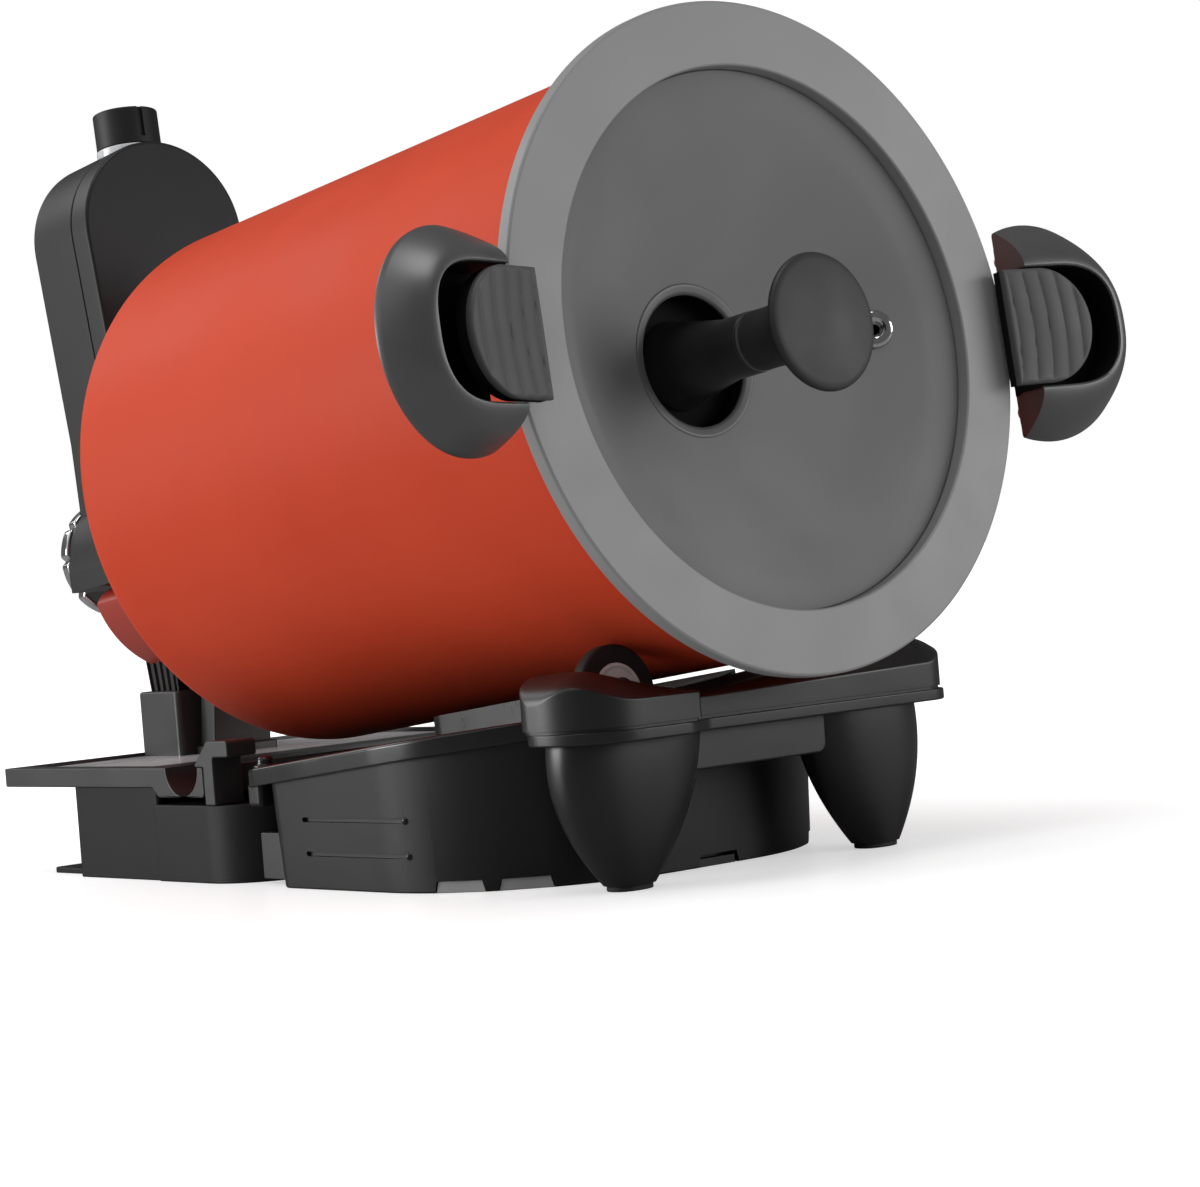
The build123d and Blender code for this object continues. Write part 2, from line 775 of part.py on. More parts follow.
# Control: timer body on the frame, spindle, bezel on the curved head and the knob
timer_level = head_top - timer_top
with BuildPart() as timer_control:
    with BuildSketch(rear_face):
        with Locations((0, timer_level - timer_height / 2)):
            Rectangle(timer_width, timer_height)
    extrude(amount=-timer_depth)
    bar(knob_plane.offset(timer_level), spindle_radius + running_clearance, -timer_height / 2,
        mode=Mode.SUBTRACT)
save(timer_control, "timer_control")

bezel_top = head_top + bezel_rise
with BuildPart() as knob_bezel:
    bar(knob_plane.offset(bezel_top), bezel_radius, -bezel_rise - bezel_sink)
    with BuildSketch(mouth.offset(-tower_back - overrun)):
        with Locations((0, tower_head_rise)):
            Circle(tower_head_radius + seat_gap)
    extrude(amount=tower_back + 2 * overrun - tower_setback, mode=Mode.SUBTRACT)
    bar(knob_plane.offset(bezel_top), spindle_radius + body_gap, -bezel_rise - bezel_sink, mode=Mode.SUBTRACT)
save(knob_bezel, "knob_bezel")

knob_foot = bezel_top + body_gap
with BuildPart() as control_knob:
    bar(knob_plane.offset(knob_foot), knob_radius, knob_height)
    fillet(control_knob.edges().filter_by(GeomType.CIRCLE).sort_by(Axis(mouth.origin, up_dir))[-1], knob_edge)
    slot_plane = knob_plane.rotated((0, 0, -knob_rest_turn)).offset(knob_foot + knob_slot_floor)
    block(slot_plane, (0, -knob_radius), knob_slot_width, 2 * knob_slot_depth, knob_height,
          mode=Mode.SUBTRACT)
    bar(knob_plane.offset(knob_foot), spindle_radius + seat_gap, spindle_grip, mode=Mode.SUBTRACT)
save(control_knob, "control_knob")

spindle_foot = timer_level - timer_height / 2 + body_gap
with BuildPart() as knob_spindle:
    bar(knob_plane.offset(spindle_foot), spindle_radius, knob_foot + spindle_grip - spindle_foot)
save(knob_spindle, "knob_spindle")

# Heater base: tub, slanted cover, base plate, heating plate with its element and thermostat
heater_front = -heater_front_reach
heater_rear = heater_rear_reach
cover_top_plane = under_drum(cover_drop)
cover_bottom_plane = cover_top_plane.offset(-cover_thickness)


def heater_outline(grow, tail=0):
    """Adds the heater base's plan, grown outwards and with a tail to the rear, to the sketch that is open."""
    with BuildSketch() as plan:
        with Locations((0, (heater_front + heater_rear + tail) / 2)):
            Rectangle(heater_width + 2 * grow, heater_rear - heater_front + tail + 2 * grow)
        fillet(plan.vertices().sort_by(Axis.Y)[:2], heater_front_corner + grow)
        fillet(plan.vertices().sort_by(Axis.Y)[-2:], heater_rear_corner + grow)
    add(plan.sketch)


boss_across = heater_width / 2 - heater_wall - boss_radius + boss_sink


def boss_plane(sign, along):
    """Plane on top of the base plate at one of the screw bosses."""
    return Plane(origin=(sign * boss_across, along, base_plate_thickness), z_dir=(0, 0, 1))


def notch_planes():
    """Planes on the ground about the front corners' centres, with x out to the middle of each notch."""
    for side, sign in sides:
        centre = (sign * (heater_width / 2 - heater_front_corner), heater_front + heater_front_corner, 0)
        for turn in notch_turns:
            away = (sign * math.cos(math.radians(turn)), -math.sin(math.radians(turn)), 0)
            yield Plane(origin=centre, x_dir=away, z_dir=(0, 0, 1))


def foot_notches():
    """Cuts the notches along the lower edge of the open part."""
    for ground in notch_planes():
        block(ground, (heater_front_corner, 0), 2 * notch_depth, notch_width, notch_height,
              mode=Mode.SUBTRACT)


with BuildPart() as heater_base:
    with BuildSketch():
        heater_outline(0)
    extrude(amount=rim_height)
    with BuildSketch():
        heater_outline(-heater_wall)
    extrude(amount=rim_height, mode=Mode.SUBTRACT)
    split(bisect_by=cover_bottom_plane, keep=Keep.BOTTOM)
    for along in boss_places:
        for side, sign in sides:
            bar(boss_plane(sign, along), boss_radius, boss_top)
            bar(boss_plane(sign, along), screw_radius + seat_gap, screw_length + seat_gap, mode=Mode.SUBTRACT)
    foot_notches()
    for side, sign in sides:
        for level in rib_levels:
            block(Plane.XY.offset(level), (sign * heater_width / 2, heater_rear - rib_rear - rib_length / 2),
                  2 * rib_depth, rib_length, rib_width, mode=Mode.SUBTRACT)
save(heater_base, "heater_base")

with BuildPart() as base_plate:
    with BuildSketch():
        heater_outline(-heater_wall - seat_gap)
    extrude(amount=base_plate_thickness)
    for along in boss_places:
        for side, sign in sides:
            seat = boss_plane(sign, along)
            bar(seat, screw_radius + seat_gap, -base_plate_thickness, mode=Mode.SUBTRACT)
            bar(seat.offset(screw_recess - base_plate_thickness), screw_head_radius + seat_gap, -screw_recess,
                mode=Mode.SUBTRACT)
    foot_notches()
save(base_plate, "base_plate")

with BuildPart() as case_screws:
    for along in boss_places:
        for side, sign in sides:
            head_seat = boss_plane(sign, along).offset(screw_recess - base_plate_thickness)
            bar(head_seat, screw_radius, base_plate_thickness - screw_recess + screw_length)
            bar(head_seat, screw_head_radius, -screw_head_height)
    for point in tower_screw_places:
        with BuildSketch(mouth.offset(-tower_back)):
            with Locations(point):
                Circle(screw_head_radius)
        extrude(amount=-screw_head_height)
        with BuildSketch(mouth.offset(-tower_back)):
            with Locations(point):
                Circle(screw_radius)
        extrude(amount=tower_rear_depth + tower_frame_thickness)
save(case_screws, "case_screws")

with BuildPart() as heater_cover:
    with BuildSketch():
        heater_outline(cover_overhang, cover_tail)
    extrude(amount=rim_height)
    split(bisect_by=cover_top_plane, keep=Keep.BOTTOM)
    split(bisect_by=cover_bottom_plane, keep=Keep.TOP)
    block(cover_top_plane, (0, 0), window_width, window_length, -cover_thickness, mode=Mode.SUBTRACT)
    for side, sign in sides:
        lug_spot = (sign * (heater_width - cover_lug_width) / 2,
                    heater_rear + cover_lug_gap + cover_lug_length / 2)
        block(cover_bottom_plane, lug_spot, cover_lug_width, cover_lug_length, -cover_lug_drop)
save(heater_cover, "heater_cover")

with BuildPart() as heating_plate:
    with BuildSketch(cover_top_plane):
        RectangleRounded(plate_width, plate_length, plate_corner)
    extrude(amount=drum_radius)
    bar(mouth.offset(-drum_depth), drum_radius + heat_gap, drum_depth, mode=Mode.SUBTRACT)
    split(bisect_by=under_drum(0), keep=Keep.BOTTOM)
save(heating_plate, "heating_plate")

element_plane = cover_top_plane.offset(-element_radius - seat_gap)
with BuildPart() as heating_element:
    with BuildLine(element_plane) as element_path:
        Line((-element_spread, -element_leg / 2), (-element_spread, element_leg / 2 - element_spread))
        ThreePointArc((-element_spread, element_leg / 2 - element_spread), (0, element_leg / 2),
                      (element_spread, element_leg / 2 - element_spread))
        Line((element_spread, element_leg / 2 - element_spread), (element_spread, -element_leg / 2))
    with BuildSketch(Plane(origin=element_path.line @ 0, z_dir=element_path.line % 0)):
        Circle(element_radius)
    sweep(path=element_path.line)
save(heating_element, "heating_element")

with BuildPart() as thermostat:
    bar(cover_top_plane, thermostat_radius, -thermostat_height)
save(thermostat, "thermostat")

# Rollers under the front of the drum, their yokes and axles
roller_orbit = drum_radius + body_gap + roller_radius
roller_rise = -math.sqrt(roller_orbit**2 - roller_spread**2)
roller_centre = place(roller_spread, roller_rise, -roller_setback)
beam_bottom = beam_level
beam_top = beam_bottom + beam_thickness
beam_rear = heater_front - cover_overhang
beam_front = beam_rear - beam_depth
beam_middle = (beam_front + beam_rear) / 2
yoke_reach = roller_width / 2 + yoke_side_gap


def roller_plane(sign):
    """Plane square to a roller's axle, through the roller's middle."""
    centre = place(sign * roller_spread, roller_rise, -roller_setback)
    return Plane(origin=centre, x_dir=side_dir, z_dir=axis_dir)


def roller_wells():
    """Cuts the round wells of both rollers out of the open part."""
    for side, sign in sides:
        bar(roller_plane(sign).offset(-yoke_reach), roller_radius + roller_well_gap, 2 * yoke_reach,
            mode=Mode.SUBTRACT)


for side, sign in sides:
    wheel = roller_plane(sign)
    rim_side = wheel.offset(-roller_width / 2)

    with BuildPart() as roller_tyre:
        with BuildSketch(rim_side):
            Circle(roller_radius)
            Circle(roller_hub_radius + seat_gap, mode=Mode.SUBTRACT)
        extrude(amount=roller_width)
        fillet(round_edges(roller_tyre, roller_radius), tread_edge)
    save(roller_tyre, f"roller_tyre_{side}")

    with BuildPart() as roller_hub:
        hub_length = roller_width + 2 * roller_hub_lip
        hub_side = rim_side.offset(-roller_hub_lip)
        bar(hub_side, roller_hub_radius, hub_length)
        bar(hub_side, axle_radius + running_clearance, hub_length, mode=Mode.SUBTRACT)
    save(roller_hub, f"roller_hub_{side}")

with BuildPart() as roller_axles:
    for side, sign in sides:
        bar(roller_plane(sign).offset(-yoke_reach - yoke_wall), axle_radius, 2 * (yoke_reach + yoke_wall))
save(roller_axles, "roller_axles")

with BuildPart() as roller_yokes:
    for side, sign in sides:
        for start in (yoke_reach, -yoke_reach - yoke_wall):
            with BuildSketch(roller_plane(sign).offset(start)):
                Circle(yoke_half)
                with Locations((0, -roller_radius)):
                    Rectangle(2 * yoke_half, 2 * roller_radius)
                Circle(axle_radius + seat_gap, mode=Mode.SUBTRACT)
            extrude(amount=yoke_wall)
    split(bisect_by=Plane.XY.offset(beam_top), keep=Keep.TOP)
save(roller_yokes, "roller_yokes")

# Front beam with its apron, on two shield-shaped feet
bulge_front = beam_front - bulge_depth
bulge_corners = [(-cover_split - bulge_run / 2, bulge_front), (bulge_run / 2 - cover_split, beam_front)]
beam_corners = [(-beam_length / 2, beam_rear), (-beam_length / 2, bulge_front),
                (beam_length / 2, beam_front), (beam_length / 2, beam_rear)]
with BuildPart() as front_beam:
    with BuildSketch(Plane.XY.offset(beam_bottom)) as beam_plan:
        Polygon(*beam_corners[:2], *bulge_corners, *beam_corners[2:], align=None)
        for corners, radius in ((beam_corners, beam_corner), (bulge_corners, beam_bend)):
            for corner in corners:
                fillet(beam_plan.vertices().sort_by_distance(corner)[0], radius)
    extrude(amount=beam_thickness)
    block(Plane.XY.offset(beam_bottom), (0, beam_middle), apron_length, apron_depth, -apron_height)
    roller_wells()
save(front_beam, "front_beam")

foot_height = beam_bottom - foot_pad_thickness
for side, sign in sides:
    with BuildPart() as foot:
        for rise, wide, deep in zip(foot_height_shares, foot_width_shares, foot_depth_shares):
            spread = foot_bottom_spread + (foot_top_spread - foot_bottom_spread) * rise
            with BuildSketch(Plane.XY.offset(foot_pad_thickness + foot_height * rise)):
                with Locations((sign * spread, beam_middle)):
                    Ellipse(foot_half_width * wide, foot_half_depth * deep)
        loft()
        block(Plane.XY.offset(beam_bottom), (0, beam_middle), apron_length + 2 * seat_gap, beam_depth,
              -apron_height - seat_gap, mode=Mode.SUBTRACT)
        roller_wells()
    save(foot, f"foot_{side}")

with BuildPart() as foot_pads:
    for side, sign in sides:
        with BuildSketch():
            with Locations((sign * foot_bottom_spread, beam_middle)):
                Ellipse(foot_half_width * foot_width_shares[0] - foot_pad_inset,
                        foot_half_depth * foot_depth_shares[0] - foot_pad_inset)
        extrude(amount=foot_pad_thickness)
    for ground in notch_planes():
        block(ground, (heater_front_corner - (notch_depth + pad_setback) / 2, 0), notch_depth - pad_setback,
              notch_width - 2 * seat_gap, notch_height)
save(foot_pads, "foot_pads")

# Roller covers: the left one stands forward, the right one bridges the middle, and both rise to a hump
front_facing = Plane(origin=(0, beam_rear, 0), x_dir=side_dir, z_dir=(0, -1, 0))
side_facing = Plane.YZ
cover_outer = beam_length / 2
band_top = beam_top + cover_band
hump_top = band_top + hump_rise


def roller_housing(sign, inner, inner_rise, front):
    """Adds the sloping cover of one roller to the open part, and cuts the rollers' pockets.
    Inner is where it starts, measured towards its own side."""
    inner_top = beam_top + inner_rise
    outer_end = -1 if sign > 0 else 0
    with BuildSketch(Plane.XY.offset(beam_top)) as band:
        with Locations((sign * (inner + cover_outer) / 2, (front + beam_rear) / 2)):
            Rectangle(cover_outer - inner, beam_rear - front)
        fillet(band.vertices().group_by(Axis.X)[outer_end], cover_corner)
    extrude(band.sketch, amount=cover_band + hump_rise)
    with BuildSketch(front_facing) as slope:
        Polygon((sign * inner, inner_top), (sign * hump_near, hump_top), (sign * hump_far, hump_top),
                (sign * cover_outer, band_top), (sign * (cover_outer + overrun), band_top),
                (sign * (cover_outer + overrun), hump_top + overrun),
                (sign * (inner - overrun), hump_top + overrun),
                (sign * (inner - overrun), inner_top), align=None)
    extrude(slope.sketch, amount=beam_rear - front, mode=Mode.SUBTRACT)
    with BuildSketch(side_facing) as front_slope:
        Polygon((front, band_top), (front + hump_front_slope, hump_top + seat_gap),
                (front - overrun, hump_top + seat_gap), (front - overrun, band_top), align=None)
    extrude(front_slope.sketch, amount=cover_outer + overrun, both=True, mode=Mode.SUBTRACT)
    pocket_start = roller_centre.Y - pocket_front
    for across in (-roller_spread, roller_spread):
        block(Plane.XY.offset(beam_top), (across, (pocket_start + beam_rear) / 2), 2 * pocket_half,
              beam_rear - pocket_start, cover_band + hump_rise, mode=Mode.SUBTRACT)


with BuildPart() as roller_cover_left:
    roller_housing(-1, cover_split, cover_band, bulge_front + cover_lead)
save(roller_cover_left, "roller_cover_left")

with BuildPart() as roller_cover_right:
    roller_housing(1, seat_gap - cover_split, cover_bridge, beam_front + cover_lead)
save(roller_cover_right, "roller_cover_right")

# Rear base: an open-bottomed box, the deck with its trough, hooks, tie bars, board and inlet
rear_front = heater_rear + rear_gap
rear_end = rear_front + rear_length
step_line = rear_front + rear_front_length
deck_end = step_line + deck_length
deck_top = rear_height + deck_thickness
pocket_floor = deck_top - deck_pocket
pocket_width = rear_width - 2 * deck_border
pocket_length = deck_length - deck_border - deck_rear_border
pocket_middle = step_line + deck_border + pocket_length / 2
rear_middle = (rear_front + rear_end) / 2
wide = rear_width - 2 * rear_wall

with BuildPart() as rear_box:
    block(Plane.XY, (0, (rear_front + step_line) / 2), rear_width, rear_front_length, rear_front_height)
    block(Plane.XY, (0, (step_line + rear_end) / 2), rear_width, rear_end - step_line, rear_height)
    block(Plane.XY, (0, rear_end + rear_foot_length / 2), rear_foot_width, rear_foot_length,
          rear_foot_thickness)
    block(Plane.XY, (0, rear_middle), wide, rear_length - 2 * rear_wall, rear_front_height - rear_wall,
          mode=Mode.SUBTRACT)
    block(Plane.XY, (0, (step_line + rear_end) / 2), wide, rear_end - step_line - 2 * rear_wall,
          rear_height - rear_wall, mode=Mode.SUBTRACT)
    inlet_face = Plane(origin=(rear_width / 2 - inlet_inset, rear_end, inlet_level), x_dir=(-1, 0, 0),
                       z_dir=(0, 1, 0))
    block(inlet_face, (0, 0), inlet_width + 2 * seat_gap, inlet_height + 2 * seat_gap, -rear_wall,
          mode=Mode.SUBTRACT)
save(rear_box, "rear_box")

with BuildPart() as power_inlet:
    block(inlet_face, (0, 0), inlet_width + 2 * inlet_flange_border, inlet_height + 2 * inlet_flange_border,
          inlet_flange)
    block(inlet_face, (0, 0), inlet_width, inlet_height, -inlet_depth)
    block(inlet_face.offset(inlet_flange), (0, 0), inlet_width - 2 * inlet_recess_border,
          inlet_height - 2 * inlet_recess_border, -inlet_recess, mode=Mode.SUBTRACT)
save(power_inlet, "power_inlet")

with BuildPart() as control_board:
    block(Plane.XY.offset(board_level), (0, rear_front + rear_wall + seat_gap + board_thickness / 2),
          board_width, board_thickness, board_height)
save(control_board, "control_board")

trough_middle = step_line - trough_setback
trough_front = trough_middle - trough_radius - trough_wall

with BuildPart() as rear_deck:
    block(Plane.XY.offset(rear_height), (0, (step_line + deck_end) / 2), rear_width, deck_length,
          deck_thickness)
    block(Plane.XY.offset(rear_front_height), (0, (trough_front + step_line) / 2), rear_width,
          step_line - trough_front, deck_top - rear_front_height)
    with BuildSketch(Plane(origin=(0, trough_middle, deck_top), x_dir=(0, 1, 0), z_dir=(1, 0, 0))):
        Circle(trough_radius)
    extrude(amount=rear_width, both=True, mode=Mode.SUBTRACT)
    block(Plane.XY.offset(pocket_floor), (0, pocket_middle), pocket_width, pocket_length, deck_pocket,
          mode=Mode.SUBTRACT)
save(rear_deck, "rear_deck")

tower_middle = place(0, -case_drop - case_radius, head_axis_ahead)
post_along = tower_middle.Y
post_top = tower_middle.Z - neck_height - collar_thickness

with BuildPart() as deck_panel:
    block(Plane.XY.offset(pocket_floor), (0, pocket_middle), pocket_width - 2 * seat_gap,
          pocket_length - 2 * seat_gap, panel_thickness)
    block(Plane.XY.offset(pocket_floor), (0, post_along), post_width + 2 * seat_gap,
          post_depth + 2 * seat_gap, panel_thickness, mode=Mode.SUBTRACT)
save(deck_panel, "deck_panel")

hook_root = trough_front - hook_trough_gap
hook_level = deck_top + seat_gap
hook_top = rear_front_height + hook_height
hook_front = hook_root - hook_reach
hook_profile = [
    (hook_root, rear_front_height), (hook_root, hook_level), (hook_root + hook_back, hook_level),
    (hook_root - hook_rise_run, hook_top), (hook_front, hook_top), (hook_front, hook_top - hook_tip),
    (hook_root - hook_stem, hook_top - hook_tip), (hook_root - hook_stem, rear_front_height),
]
with BuildPart() as deck_hooks:
    for side, sign in sides:
        outer_face = Plane(origin=(sign * rear_width / 2, 0, 0), x_dir=(0, 1, 0), z_dir=(1, 0, 0))
        with BuildSketch(outer_face):
            Polygon(*hook_profile, align=None)
        extrude(amount=-sign * hook_width)
save(deck_hooks, "deck_hooks")

with BuildPart() as tie_bars:
    for side, sign in sides:
        tie_spot = (sign * (rear_width / 2 - tie_inset), (heater_rear + rear_front) / 2)
        block(Plane.XY.offset(tie_level), tie_spot, tie_thickness, rear_gap, tie_height)
save(tie_bars, "tie_bars")

# Tower post with its collar and ribbed neck, and the brace under the hub housing
case_curve = mouth.offset(-tower_back - overrun)
with BuildPart() as tower_post:
    block(Plane.XY.offset(pocket_floor), (0, post_along), post_width, post_depth, post_top - pocket_floor)
    block(Plane.XY.offset(post_top), (0, post_along), post_width + 2 * collar_border,
          post_depth + 2 * collar_border, collar_thickness)
    block(Plane.XY.offset(post_top + collar_thickness), (0, post_along), neck_width, neck_depth,
          neck_height + case_radius / 4)
    for side, sign in sides:
        for row in (-1, 0, 1):
            rib_spot = (sign * neck_width / 2, post_along + row * neck_rib_pitch)
            block(Plane.XY.offset(post_top + collar_thickness), rib_spot, 2 * neck_rib_depth, neck_rib_width,
                  neck_height + case_radius / 4, mode=Mode.SUBTRACT)
    with BuildSketch(case_curve):
        with Locations((0, -case_drop)):
            Circle(case_radius + seat_gap)
    extrude(amount=tower_back + 2 * overrun, mode=Mode.SUBTRACT)
save(tower_post, "tower_post")

brace_top = place(0, 0, -hub_front - (tower_setback - hub_front) * brace_hub_share)
panel_top = pocket_floor + panel_thickness
brace_foot = post_along - post_depth / 2 - brace_foot_lead
with BuildPart() as tower_brace:
    with BuildSketch(Plane.YZ):
        Polygon((brace_foot - brace_thickness, panel_top), (brace_foot, panel_top),
                (brace_top.Y, brace_top.Z), (brace_top.Y - brace_thickness, brace_top.Z), align=None)
    extrude(amount=brace_width / 2, both=True)
    bar(mouth.offset(-frame_front), hub_radius + seat_gap, frame_front, mode=Mode.SUBTRACT)
save(tower_brace, "tower_brace")
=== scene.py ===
"""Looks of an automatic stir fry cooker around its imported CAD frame.

Shapes are worked out in millimetres and become metres when a mesh is made.
The drum's own frame has its origin at the middle of the rim's face: across to the right, rise square to
the drum's axis, ahead along the axis and out of the mouth.
"""

import math

import bmesh
import bpy
import numpy as np
from mathutils import Matrix, Vector


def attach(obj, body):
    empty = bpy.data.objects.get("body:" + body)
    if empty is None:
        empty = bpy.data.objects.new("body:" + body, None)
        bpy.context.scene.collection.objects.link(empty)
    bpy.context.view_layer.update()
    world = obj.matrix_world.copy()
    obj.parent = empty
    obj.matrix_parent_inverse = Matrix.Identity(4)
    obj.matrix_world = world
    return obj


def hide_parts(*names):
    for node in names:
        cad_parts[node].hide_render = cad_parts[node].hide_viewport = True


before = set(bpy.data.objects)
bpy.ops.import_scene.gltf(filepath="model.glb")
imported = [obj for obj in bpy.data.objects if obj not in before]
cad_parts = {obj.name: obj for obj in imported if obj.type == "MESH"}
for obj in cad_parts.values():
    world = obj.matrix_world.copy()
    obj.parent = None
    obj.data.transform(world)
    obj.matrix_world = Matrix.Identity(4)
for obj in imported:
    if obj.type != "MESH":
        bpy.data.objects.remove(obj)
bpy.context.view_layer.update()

MM = 0.001
LEAN = math.radians(5.8)
ACROSS = np.array([1.0, 0.0, 0.0])
RISE = np.array([0.0, math.sin(LEAN), math.cos(LEAN)])
AHEAD = np.array([0.0, -math.cos(LEAN), math.sin(LEAN)])
RIM_CENTRE = np.array([0.0, -121.0, 188.7])
DRUM = (RIM_CENTRE, ACROSS, RISE, AHEAD)
GROUND = (np.zeros(3), ACROSS, np.array([0.0, 1.0, 0.0]), np.array([0.0, 0.0, 1.0]))
SIDEWAYS = (np.zeros(3), GROUND[2], GROUND[3], ACROSS)
SIDES = (("left", -1), ("right", 1))
SHARP_EDGE = 40.0  # degrees between two faces that make an edge look sharp

# Drum and rim: radii, and levels along the axis from the rim's face
DRUM_ROUND, DRUM_LONG, DRUM_WALL = 111.0, 295.0, 3.0
DRUM_BORE = DRUM_ROUND - DRUM_WALL
LIP_ROUND, LIP_BACK, LIP_FRONT = 118.0, -9.0, -6.0
RIM_ROUND, MOUTH_ROUND, SEAT_ROUND, SPIGOT_ROUND = 121.0, 97.5, 91.0, 107.9
SEAT_LEVEL, SPIGOT_BACK = -7.2, -12.0


# Shapes
def put(axes, x, y, z):
    """Points origin + x e1 + y e2 + z e3 for whole arrays."""
    origin, e1, e2, e3 = axes
    x, y, z = np.broadcast_arrays(*(np.asarray(c, float) for c in (x, y, z)))
    return origin + x[..., None] * e1 + y[..., None] * e2 + z[..., None] * e3


def moved(axes, x, y, z):
    """The same axes with the origin moved to a local point."""
    return (put(axes, x, y, z), *axes[1:])


def rounded(corners, radii, steps=7):
    """Closed polygon whose corners are arcs of the given radii, tangent to both sides:
    centre = corner + bisector r / sin(half angle), the arc runs between the tangent points."""
    corners = np.array(corners, float)
    radii = np.broadcast_to(np.asarray(radii, float), len(corners))
    runs = []
    for i, (point, r) in enumerate(zip(corners, radii)):
        if r <= 0:
            runs.append(point[None])
            continue
        to_last = corners[i - 1] - point
        to_next = corners[(i + 1) % len(corners)] - point
        to_last = to_last / np.linalg.norm(to_last)
        to_next = to_next / np.linalg.norm(to_next)
        half = math.acos(np.clip(to_last @ to_next, -1, 1)) / 2
        middle = to_last + to_next
        centre = point + middle / np.linalg.norm(middle) * r / math.sin(half)
        first = point + to_last * r / math.tan(half) - centre
        last = point + to_next * r / math.tan(half) - centre
        a = math.atan2(first[1], first[0])
        swing = (math.atan2(last[1], last[0]) - a + math.pi) % (2 * math.pi) - math.pi
        turn = a + swing * np.linspace(0, 1, steps)
        runs.append(centre + r * np.column_stack([np.cos(turn), np.sin(turn)]))
    return np.concatenate(runs)


def flowing(points, count):
    """Catmull-Rom curve through points: cubic in each span with the tangent (next - last) / 2."""
    p = np.array(points, float)
    p = np.vstack([2 * p[0] - p[1], p, 2 * p[-1] - p[-2]])
    t = np.linspace(0, len(p) - 3, count)
    i = np.minimum(t.astype(int), len(p) - 4)
    f = (t - i)[:, None]
    a, b, c, d = p[i], p[i + 1], p[i + 2], p[i + 3]
    return b + f * (c - a) / 2 + f**2 * (2 * a - 5 * b + 4 * c - d) / 2 + f**3 * (3 * (b - c) + d - a) / 2


def inset(outline, depth):
    """Counter-clockwise outline moved inwards: each point goes along the mitre of its two sides' normals."""
    side = np.roll(outline, -1, 0) - outline
    side = side / np.linalg.norm(side, axis=1)[:, None]
    normal = np.column_stack([-side[:, 1], side[:, 0]])
    before = np.roll(normal, 1, 0)
    mitre = (normal + before) / (1 + (normal * before).sum(1))[:, None]
    return outline + depth * mitre


def slab_rings(outline, low, high, low_edge, high_edge, steps=5):
    """Rings of a plate between two levels. At turn q of an edge of radius r the ring is inset by
    r (1 - sin q) and lies r (1 - cos q) inside its level. A level may be a function of the ring's points."""
    q = np.linspace(0, math.pi / 2, steps)
    rings = []
    for level, radius, inward, turns in ((low, low_edge, 1, q), (high, high_edge, -1, q[::-1])):
        for turn in turns:
            ring = inset(outline, radius * (1 - math.sin(turn)))
            base = level(ring) if callable(level) else level
            height = np.full(len(ring), base) + inward * radius * (1 - math.cos(turn))
            rings.append(np.column_stack([ring, height]))
    return np.array(rings)


def quads(rows, cols, close_rows=False, close_cols=False):
    """Quads of a grid of points, numbered row by row, each way closed or open."""
    r = np.arange(rows if close_rows else rows - 1)
    c = np.arange(cols if close_cols else cols - 1)
    r, c = np.meshgrid(r, c, indexing="ij")
    r2, c2 = (r + 1) % rows, (c + 1) % cols
    return np.stack([r * cols + c, r * cols + c2, r2 * cols + c2, r2 * cols + c], -1).reshape(-1, 4)


def weigh_normals(piece):
    """Lets large faces lead the shading, up to the sharp edges."""
    weigh = piece.modifiers.new("weighted_normals", "WEIGHTED_NORMAL")
    weigh.keep_sharp = True


def solid(name, points, faces, stuff, body, stands_for=(), sharp=SHARP_EDGE):
    """One closed piece from points in millimetres: seams and poles merged, faces turned outwards."""
    mesh = bpy.data.meshes.new(name)
    mesh.from_pydata((points.reshape(-1, 3) * MM).tolist(), [], [list(map(int, face)) for face in faces])
    work = bmesh.new()
    work.from_mesh(mesh)
    bmesh.ops.remove_doubles(work, verts=work.verts, dist=1e-6)
    bmesh.ops.dissolve_degenerate(work, edges=work.edges, dist=1e-6)
    bmesh.ops.recalc_face_normals(work, faces=work.faces)
    work.to_mesh(mesh)
    work.free()
    mesh.shade_smooth()
    mesh.set_sharp_from_angle(angle=math.radians(sharp))
    mesh.materials.append(stuff)
    piece = bpy.data.objects.new(name, mesh)
    bpy.context.scene.collection.objects.link(piece)
    if body:
        weigh_normals(piece)
        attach(piece, body)
        if stands_for:
            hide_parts(*stands_for)
    return piece


def skin(name, rings, stuff, body, stands_for=(), sharp=SHARP_EDGE):
    """Closed rings joined one after the other, with a flat face on the first and on the last."""
    rows, cols = rings.shape[:2]
    ends = [list(range(cols))[::-1], list(range((rows - 1) * cols, rows * cols))]
    faces = quads(rows, cols, close_cols=True).tolist() + ends
    return solid(name, rings, faces, stuff, body, stands_for, sharp)


def slab(name, axes, outline, low, high, edges, stuff, body, stands_for=(), steps=5):
    """A plate with rounded edges, its outline in the axes' first two directions."""
    rings = slab_rings(outline, low, high, edges[0], edges[1], steps)
    return skin(name, put(axes, rings[..., 0], rings[..., 1], rings[..., 2]), stuff, body, stands_for)


def lathe(name, axes, profile, stuff, body, stands_for=(), turns=160, flute=None, closed=False):
    """A profile of radius and height turned about the axes' third direction:
    (r cos a, r sin a, z), with r times flute(a) where the rim is fluted."""
    a = np.linspace(0, 2 * math.pi, turns, endpoint=False)[:, None]
    r = profile[None, :, 0] * (flute(a, profile[None, :, 0]) if flute else 1.0)
    points = put(axes, r * np.cos(a), r * np.sin(a), profile[None, :, 1] + 0 * a)
    faces = quads(turns, len(profile), close_rows=True, close_cols=closed)
    return solid(name, points, faces, stuff, body, stands_for)


